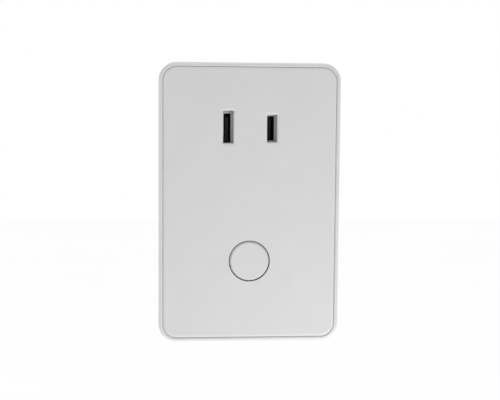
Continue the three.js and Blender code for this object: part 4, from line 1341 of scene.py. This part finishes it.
def fuse_and_varistor():
    """The fuse in its end caps and the disc varistor, both standing on leads."""
    low, high = cad("fuse")
    radius, x = (high.x - low.x) / 2, middle("fuse").x
    body = radius - FUSE_STEP
    profile = [
        (0, low.z),
        (radius, low.z),
        (radius, low.z + FUSE_CAP),
        (body, low.z + FUSE_CAP + 0.05),
        (body, high.z - FUSE_CAP - 0.05),
        (radius, high.z - FUSE_CAP),
        (radius, high.z),
        (0, high.z),
    ]
    fuse = lathe(profile, 0.3, (x, low.y + radius), axis="z")
    join(fuse, *leads(x, (low.z + 0.5, high.z - 0.5), high.y - 2, high.y))
    cap_end = FUSE_CAP + 0.04

    def caps(at, normal):
        return at.z < low.z + cap_end or at.z > high.z - cap_end

    finish_piece("fuse", fuse, [("tinned_steel", caps)])

    low, high = cad("varistor")
    radius, (x, z) = (high.z - low.z) / 2, centre_of("varistor")
    profile = [(0, low.x), (radius, low.x), (radius, high.x), (0, high.x)]
    body = lathe(profile, 1.1, (low.y + radius, z), 64, axis="x", corner_steps=8)
    join(body, *leads(x, (z - radius / 2, z + radius / 2), high.y - 3, high.y))
    foot = high.y - 0.9
    finish_piece("varistor", body, [("tinned_steel", lambda at, normal: at.y > foot)])


RECESS_MARGIN, RECESS_INTO = 0.7, 0.35
CHOKE_HUB, CHOKE_WIRE, CHOKE_COIL = 2.2, 0.42, 2.42


def film_capacitor_and_choke():
    """The boxed film capacitor with its potted underside, and the drum choke with its winding."""
    high = cad("film_capacitor")[1]
    film = slab("film_capacitor", 0.5, 0.3, 0.1)
    recess = outline_of("film_capacitor", 0.4, RECESS_MARGIN)
    cut(film, mouth(recess, high.y, RECESS_INTO, 0.1, -1, steps=1))
    finish_piece("film_capacitor", film)

    low, high = cad("choke")
    rim, wire = (high.x - low.x) / 2, CHOKE_WIRE
    start = low.y + 1.0
    turns = int((high.y - low.y - 2.1) / wire)
    end = start + turns * wire
    shares = (0.0, 0.2, 0.4, 0.6, 0.8)
    profile = [(0, low.y), (rim, low.y), (rim, low.y + 0.9), (CHOKE_HUB, low.y + 0.95)]
    profile += [
        (CHOKE_COIL + wire / 2 * math.sin(math.pi * u), start + (turn + u) * wire)
        for turn in range(turns)
        for u in shares
    ]
    profile += [(CHOKE_HUB, end), (rim, high.y - 1.1), (rim, high.y), (0, high.y)]
    choke = turned(profile, centre_of("choke"), 48)
    finish_piece("choke", choke, [("copper_wire", lambda at, normal: start < at.y < end)])


SEAT = cad("power_board")[0].y
CORE_LEG = 3.0
WINDOW = (3.1, 8.8)
CORE_JOINT = 0.05
PASSAGE = CORE_LEG / 2 + 0.15


def transformer():
    """The flyback transformer: ferrite core, black bobbin, and the windings under yellow tape."""
    low, high = cad("transformer_core")
    x, z = centre_of("transformer_core")
    through = low.y - 1, high.y + 1
    core = box_of("transformer_core", 0.3)
    for side in (-1, 1):
        centre = (x + side * (CORE_LEG + WINDOW[0]) / 2, z)
        cut(core, block(rounded_rectangle(*WINDOW, 0.2, centre), *through))
    seam = (z - CORE_JOINT, z + CORE_JOINT)
    sides = (low.x - 1, low.x + 0.08), (high.x - 0.08, high.x + 1)
    cut(core, *[box(across, through, seam) for across in sides])
    finish_piece("transformer_core", core)

    def sleeve(half_x, rise, half_z, edge=0.0):
        around = (low.y - rise, high.y + rise)
        return box((x - half_x, x + half_x), around, (z - half_z, z + half_z), edge)

    spool = sleeve(PASSAGE + 0.5, 0.65, 4.3)
    cheeks = cut(sleeve(4.4, 2.3, 4.3, 0.2), sleeve(12, 12, 3.7))
    foot = box((x - 5.5, x + 5.5), (high.y + 1.8, SEAT - 0.3), (z - 6, z + 6), 0.25)
    cut(foot, box((x - 6.5, x + 6.5), (high.y, high.y + 2.2), (z - 3.7, z + 3.7)))
    join(spool, cheeks, foot)
    cut(spool, sleeve(PASSAGE, 0.15, 13))
    finish_piece("transformer_bobbin", spool)

    tape = sleeve(4.1, 2.0, 3.6, 0.9)
    join(tape, box((x - 3.2, x + 1.4), (low.y - 2.0, low.y - 1.9), (z - 3.5, z + 3.5), 0.04))
    cut(tape, sleeve(PASSAGE + 0.6, 0.75, 13))
    finish_piece("transformer_winding", tape)


STRAP_SHEET, STRAP_RISE = 0.5, 1.3
SHUNT_SHEET = 0.4
SHUNT_HALF = [(4.0, SEAT - 0.2), (2.6, SEAT - 0.2), (2.0, SEAT - 1.4)]


def folded(node, line, sheet, axis, bend=0.5, edge=0.08):
    """A strip of metal folded along a line and as wide as its CAD node."""
    low, high = cad(node)
    span = {"x": (low.x, high.x), "z": (low.z, high.z)}[axis]
    finish_piece(node, block(strip(line, sheet, bend), *span, edge, edge, axis=axis, steps=2))


def straps():
    """The heavy links for the load current, raised between their two feet, and the current shunt."""
    foot, top = SEAT - STRAP_SHEET / 2, SEAT - STRAP_RISE
    for node in ("neutral_link", "line_link"):
        low, high = cad(node)
        raised = [(top, high.z - 0.7), (top, low.z + 2.0)]
        folded(node, [(foot, high.z), *raised, (foot, low.z + 1.3), (foot, low.z)], STRAP_SHEET, "x")
    x = middle("shunt_resistor").x
    line = [(x - u, y) for u, y in SHUNT_HALF] + [(x + u, y) for u, y in reversed(SHUNT_HALF)]
    folded("shunt_resistor", line, SHUNT_SHEET, "z", 0.4)


# ---- Relay -----------------------------------------------------------

CASE_EDGE, CASE_WALL, CASE_INNER_EDGE = 0.45, 0.7, 0.9
VENT_SHIFT = (4.2, -6.6)
BOBBIN_BORE, BOBBIN_TUBE, CHEEK = 1.45, 1.9, 0.6
WINDING_BORE, COIL_WIRE = 2.1, 0.16
CORE_RADIUS = 1.2
IRON_SHEET = 0.8


def relay_housing():
    """The relay's case with its vent, and the base it is closed with."""
    low, high = cad("relay_case")
    x, z = centre_of("relay_case")
    outline = outline_of("relay_case", 0.7)
    case = stack(outline, round_end(CASE_EDGE, low.y, 1, 5) + [(0.0, high.y)])
    inside = [
        (CASE_INNER_EDGE, low.y + CASE_WALL),
        (CASE_WALL, low.y + CASE_INNER_EDGE),
        (CASE_WALL, high.y + 1),
    ]
    cut(case, stack(outline, inside))
    vent = [(0, low.y - 1), (0.55, low.y - 1), (0.5, low.y + 0.25), (0, low.y + 0.25)]
    cut(case, turned(vent, (x + VENT_SHIFT[0], z + VENT_SHIFT[1]), 24))
    finish_piece("relay_case", case)
    low, high = cad("relay_base")
    finish_piece("relay_base", block(outline, low.y, high.y, 0.05, 0.25, steps=3))


def relay_coil():
    """The relay's bobbin, its winding, and the iron core and yoke."""
    at = (middle("relay_core").x, middle("relay_bobbin").z)
    low, high = cad("relay_bobbin")
    rim = (high.x - low.x) / 2
    front = [
        (BOBBIN_BORE, low.y),
        (rim, low.y),
        (rim, low.y + CHEEK),
        (BOBBIN_TUBE, low.y + CHEEK + 0.05),
    ]
    rear = [(r, low.y + high.y - y) for r, y in reversed(front)]
    finish_piece("relay_bobbin", ring_solid(front + rear, at, 64))

    low, high = cad("relay_winding")
    outer, length = (high.x - low.x) / 2, high.y - low.y
    turns = int(length / COIL_WIRE)
    crests = [
        (
            outer - 0.5 * COIL_WIRE * (1 - math.sin(math.pi * u)),
            low.y + (turn + u) * length / turns,
        )
        for turn in range(turns)
        for u in (0.1, 0.35, 0.65, 0.9)
    ]
    profile = [(WINDING_BORE, low.y)] + crests + [(WINDING_BORE, high.y)]
    finish_piece("relay_winding", ring_solid(profile, at, 64))

    low, high = cad("relay_core")
    face = (high.x - low.x) / 2
    profile = [
        (0, low.y),
        (face, low.y),
        (face, low.y + 0.23),
        (CORE_RADIUS, low.y + 0.25),
        (CORE_RADIUS, high.y),
        (0, high.y),
    ]
    finish_piece("relay_core", lathe(profile, 0.06, at, 64, corner_steps=3))

    low, high = cad("relay_yoke")
    half = IRON_SHEET / 2
    line = [(high.y - half, high.z), (high.y - half, low.z + half), (low.y, low.z + half)]
    folded("relay_yoke", line, IRON_SHEET, "x", 0.3)


ARMATURE_NOTCH = (0.5, 2.2)
SPRING_SHEET = 0.25
CONTACT_Z = -16.6
RIVET_RADIUS, RIVET_FACE = 0.9, 0.6
TERMINAL_SHEET = 0.4


def relay_switch():
    """The armature, the leaf spring with the moving contact, and the fixed contact on its terminal."""
    low, high = cad("relay_armature")
    plate = box_of("relay_armature", 0.12)
    across, up = ARMATURE_NOTCH
    for x in (low.x, high.x):
        notch = (x - across, x + across), (low.y - 1, high.y + 1), (high.z - up, high.z + 1)
        cut(plate, box(*notch))
    finish_piece("relay_armature", plate)

    low, high = cad("relay_moving_contact")
    x = (low.x + high.x) / 2
    levels = [(0.03, low.y), (0.0, low.y + 0.03), (0.0, low.y + SPRING_SHEET)]
    spring = stack(outline_of("relay_moving_contact", 0.8), levels)
    slit = rounded_rectangle(0.4, 3.4, 0.15, (x, CONTACT_Z - 4.4))
    cut(spring, block(slit, low.y - 1, low.y + 1))
    tip = [
        (0, low.y + 0.1),
        (RIVET_RADIUS, low.y + 0.1),
        (RIVET_RADIUS, high.y - 0.25),
        (RIVET_FACE, high.y - 0.06),
        (0, high.y),
    ]
    join(spring, turned(tip, (x, CONTACT_Z), 32))
    finish_piece("relay_moving_contact", spring)

    low, high = cad("relay_fixed_contact")
    seat, bend = low.y + 0.75, CONTACT_Z + 1.6
    line = [(seat, CONTACT_Z - 1.2), (seat, bend), (high.y, bend)]
    terminal = block(
        strip(line, TERMINAL_SHEET, 0.4), x - 1.5, x + 1.5, 0.08, 0.08, axis="x", steps=2
    )
    tip = [
        (0, low.y),
        (RIVET_FACE, low.y + 0.06),
        (RIVET_RADIUS, low.y + 0.25),
        (RIVET_RADIUS, seat),
        (0, seat),
    ]
    join(terminal, turned(tip, (x, CONTACT_Z), 32))
    finish_piece("relay_fixed_contact", terminal)


def cad_nodes():
    """Gives each CAD node the material of its slot as well."""
    for node, piece in frame["nodes"].items():
        piece.data.materials.clear()
        piece.data.materials.append(MATERIALS[SLOT_OF[node]])


rear_housing()
front_cover()
button_cap()
screws()
for outlet_side in SIDES:
    blade(outlet_side)
    contact(outlet_side)
blade_holder()
contact_carrier()
switch_parts()
light_parts()
power_board()
control_board()
insulating_sheet()
board_link()
radio()
fuse_and_varistor()
film_capacitor_and_choke()
for chip_node, leg_count in CHIP_LEGS.items():
    chip(chip_node, leg_count)
for capacitor in ("filter_capacitor_1", "filter_capacitor_2", "output_capacitor"):
    electrolytic(capacitor)
transformer()
straps()
relay_housing()
relay_coil()
relay_switch()
cad_nodes()

# ---- Stage and light -------------------------------------------------

FLOOR_DROP = 400.0
FLOOR_SIZE = 8000.0
ROOM_LIGHT = 0.495
BACKDROP = 1.0
OVERHEAD_LIGHT = 1.7
OVERHEAD_SPREAD = 40
# Round lamps: where each stands and its size, in metres, and its power in watts.
LAMPS = {
    "key": ((0.16, -0.25, -0.22), 0.12, 0.55),
    "side": ((-0.35, -0.05, -0.02), 0.2, 0.28),
}
LAMPS_AIM = Vector((0, -0.02, -0.03))


def floor():
    """A plain white floor below the part, which is held by the wall and not by the floor."""
    height = (body_low.z - FLOOR_DROP) * MM
    half = FLOOR_SIZE * MM / 2
    corners = [(-half, -half), (half, -half), (half, half), (-half, half)]
    piece = mesh_object("floor", [(x, y, height) for x, y in corners], [[0, 1, 2, 3]])
    n = Nodes("floor_white")
    n.set(base_color=n.blend(n.noise(400.0), (0.96, 0.96, 0.96), (0.98, 0.98, 0.98)), roughness=0.9)
    piece.data.materials.append(n.material)


def add_light(name, kind, power):
    data = bpy.data.lights.new(name, kind)
    data.energy = power
    light = bpy.data.objects.new(name, data)
    bpy.context.scene.collection.objects.link(light)
    return light


def lamps():
    """Soft round lamps to the right of the front and on the left."""
    for name, (place, size, power) in LAMPS.items():
        light = add_light(name, "AREA", power)
        light.data.shape = "DISK"
        light.data.size = size
        light.location = place
        light.rotation_euler = (LAMPS_AIM - Vector(place)).to_track_quat("-Z", "Y").to_euler()


def overhead_light():
    """Broad light from above, which keeps the floor as white as the surroundings."""
    add_light("overhead", "SUN", OVERHEAD_LIGHT).data.angle = math.radians(OVERHEAD_SPREAD)


def world():
    """Even white surroundings, seen as plain white."""
    made = bpy.data.worlds.new("studio")
    made.use_nodes = True
    tree = made.node_tree
    room = tree.nodes["Background"]
    backdrop = tree.nodes.new("ShaderNodeBackground")
    for shader, strength in ((room, ROOM_LIGHT), (backdrop, BACKDROP)):
        shader.inputs["Color"].default_value = (1, 1, 1, 1)
        shader.inputs["Strength"].default_value = strength
    mix = tree.nodes.new("ShaderNodeMixShader")
    path = tree.nodes.new("ShaderNodeLightPath")
    tree.links.new(path.outputs["Is Camera Ray"], mix.inputs["Fac"])
    tree.links.new(room.outputs["Background"], mix.inputs[1])
    tree.links.new(backdrop.outputs["Background"], mix.inputs[2])
    tree.links.new(mix.outputs["Shader"], tree.nodes["World Output"].inputs["Surface"])
    bpy.context.scene.world = made


floor()
world()
overhead_light()
lamps()
bpy.context.scene.view_settings.view_transform = "Standard"
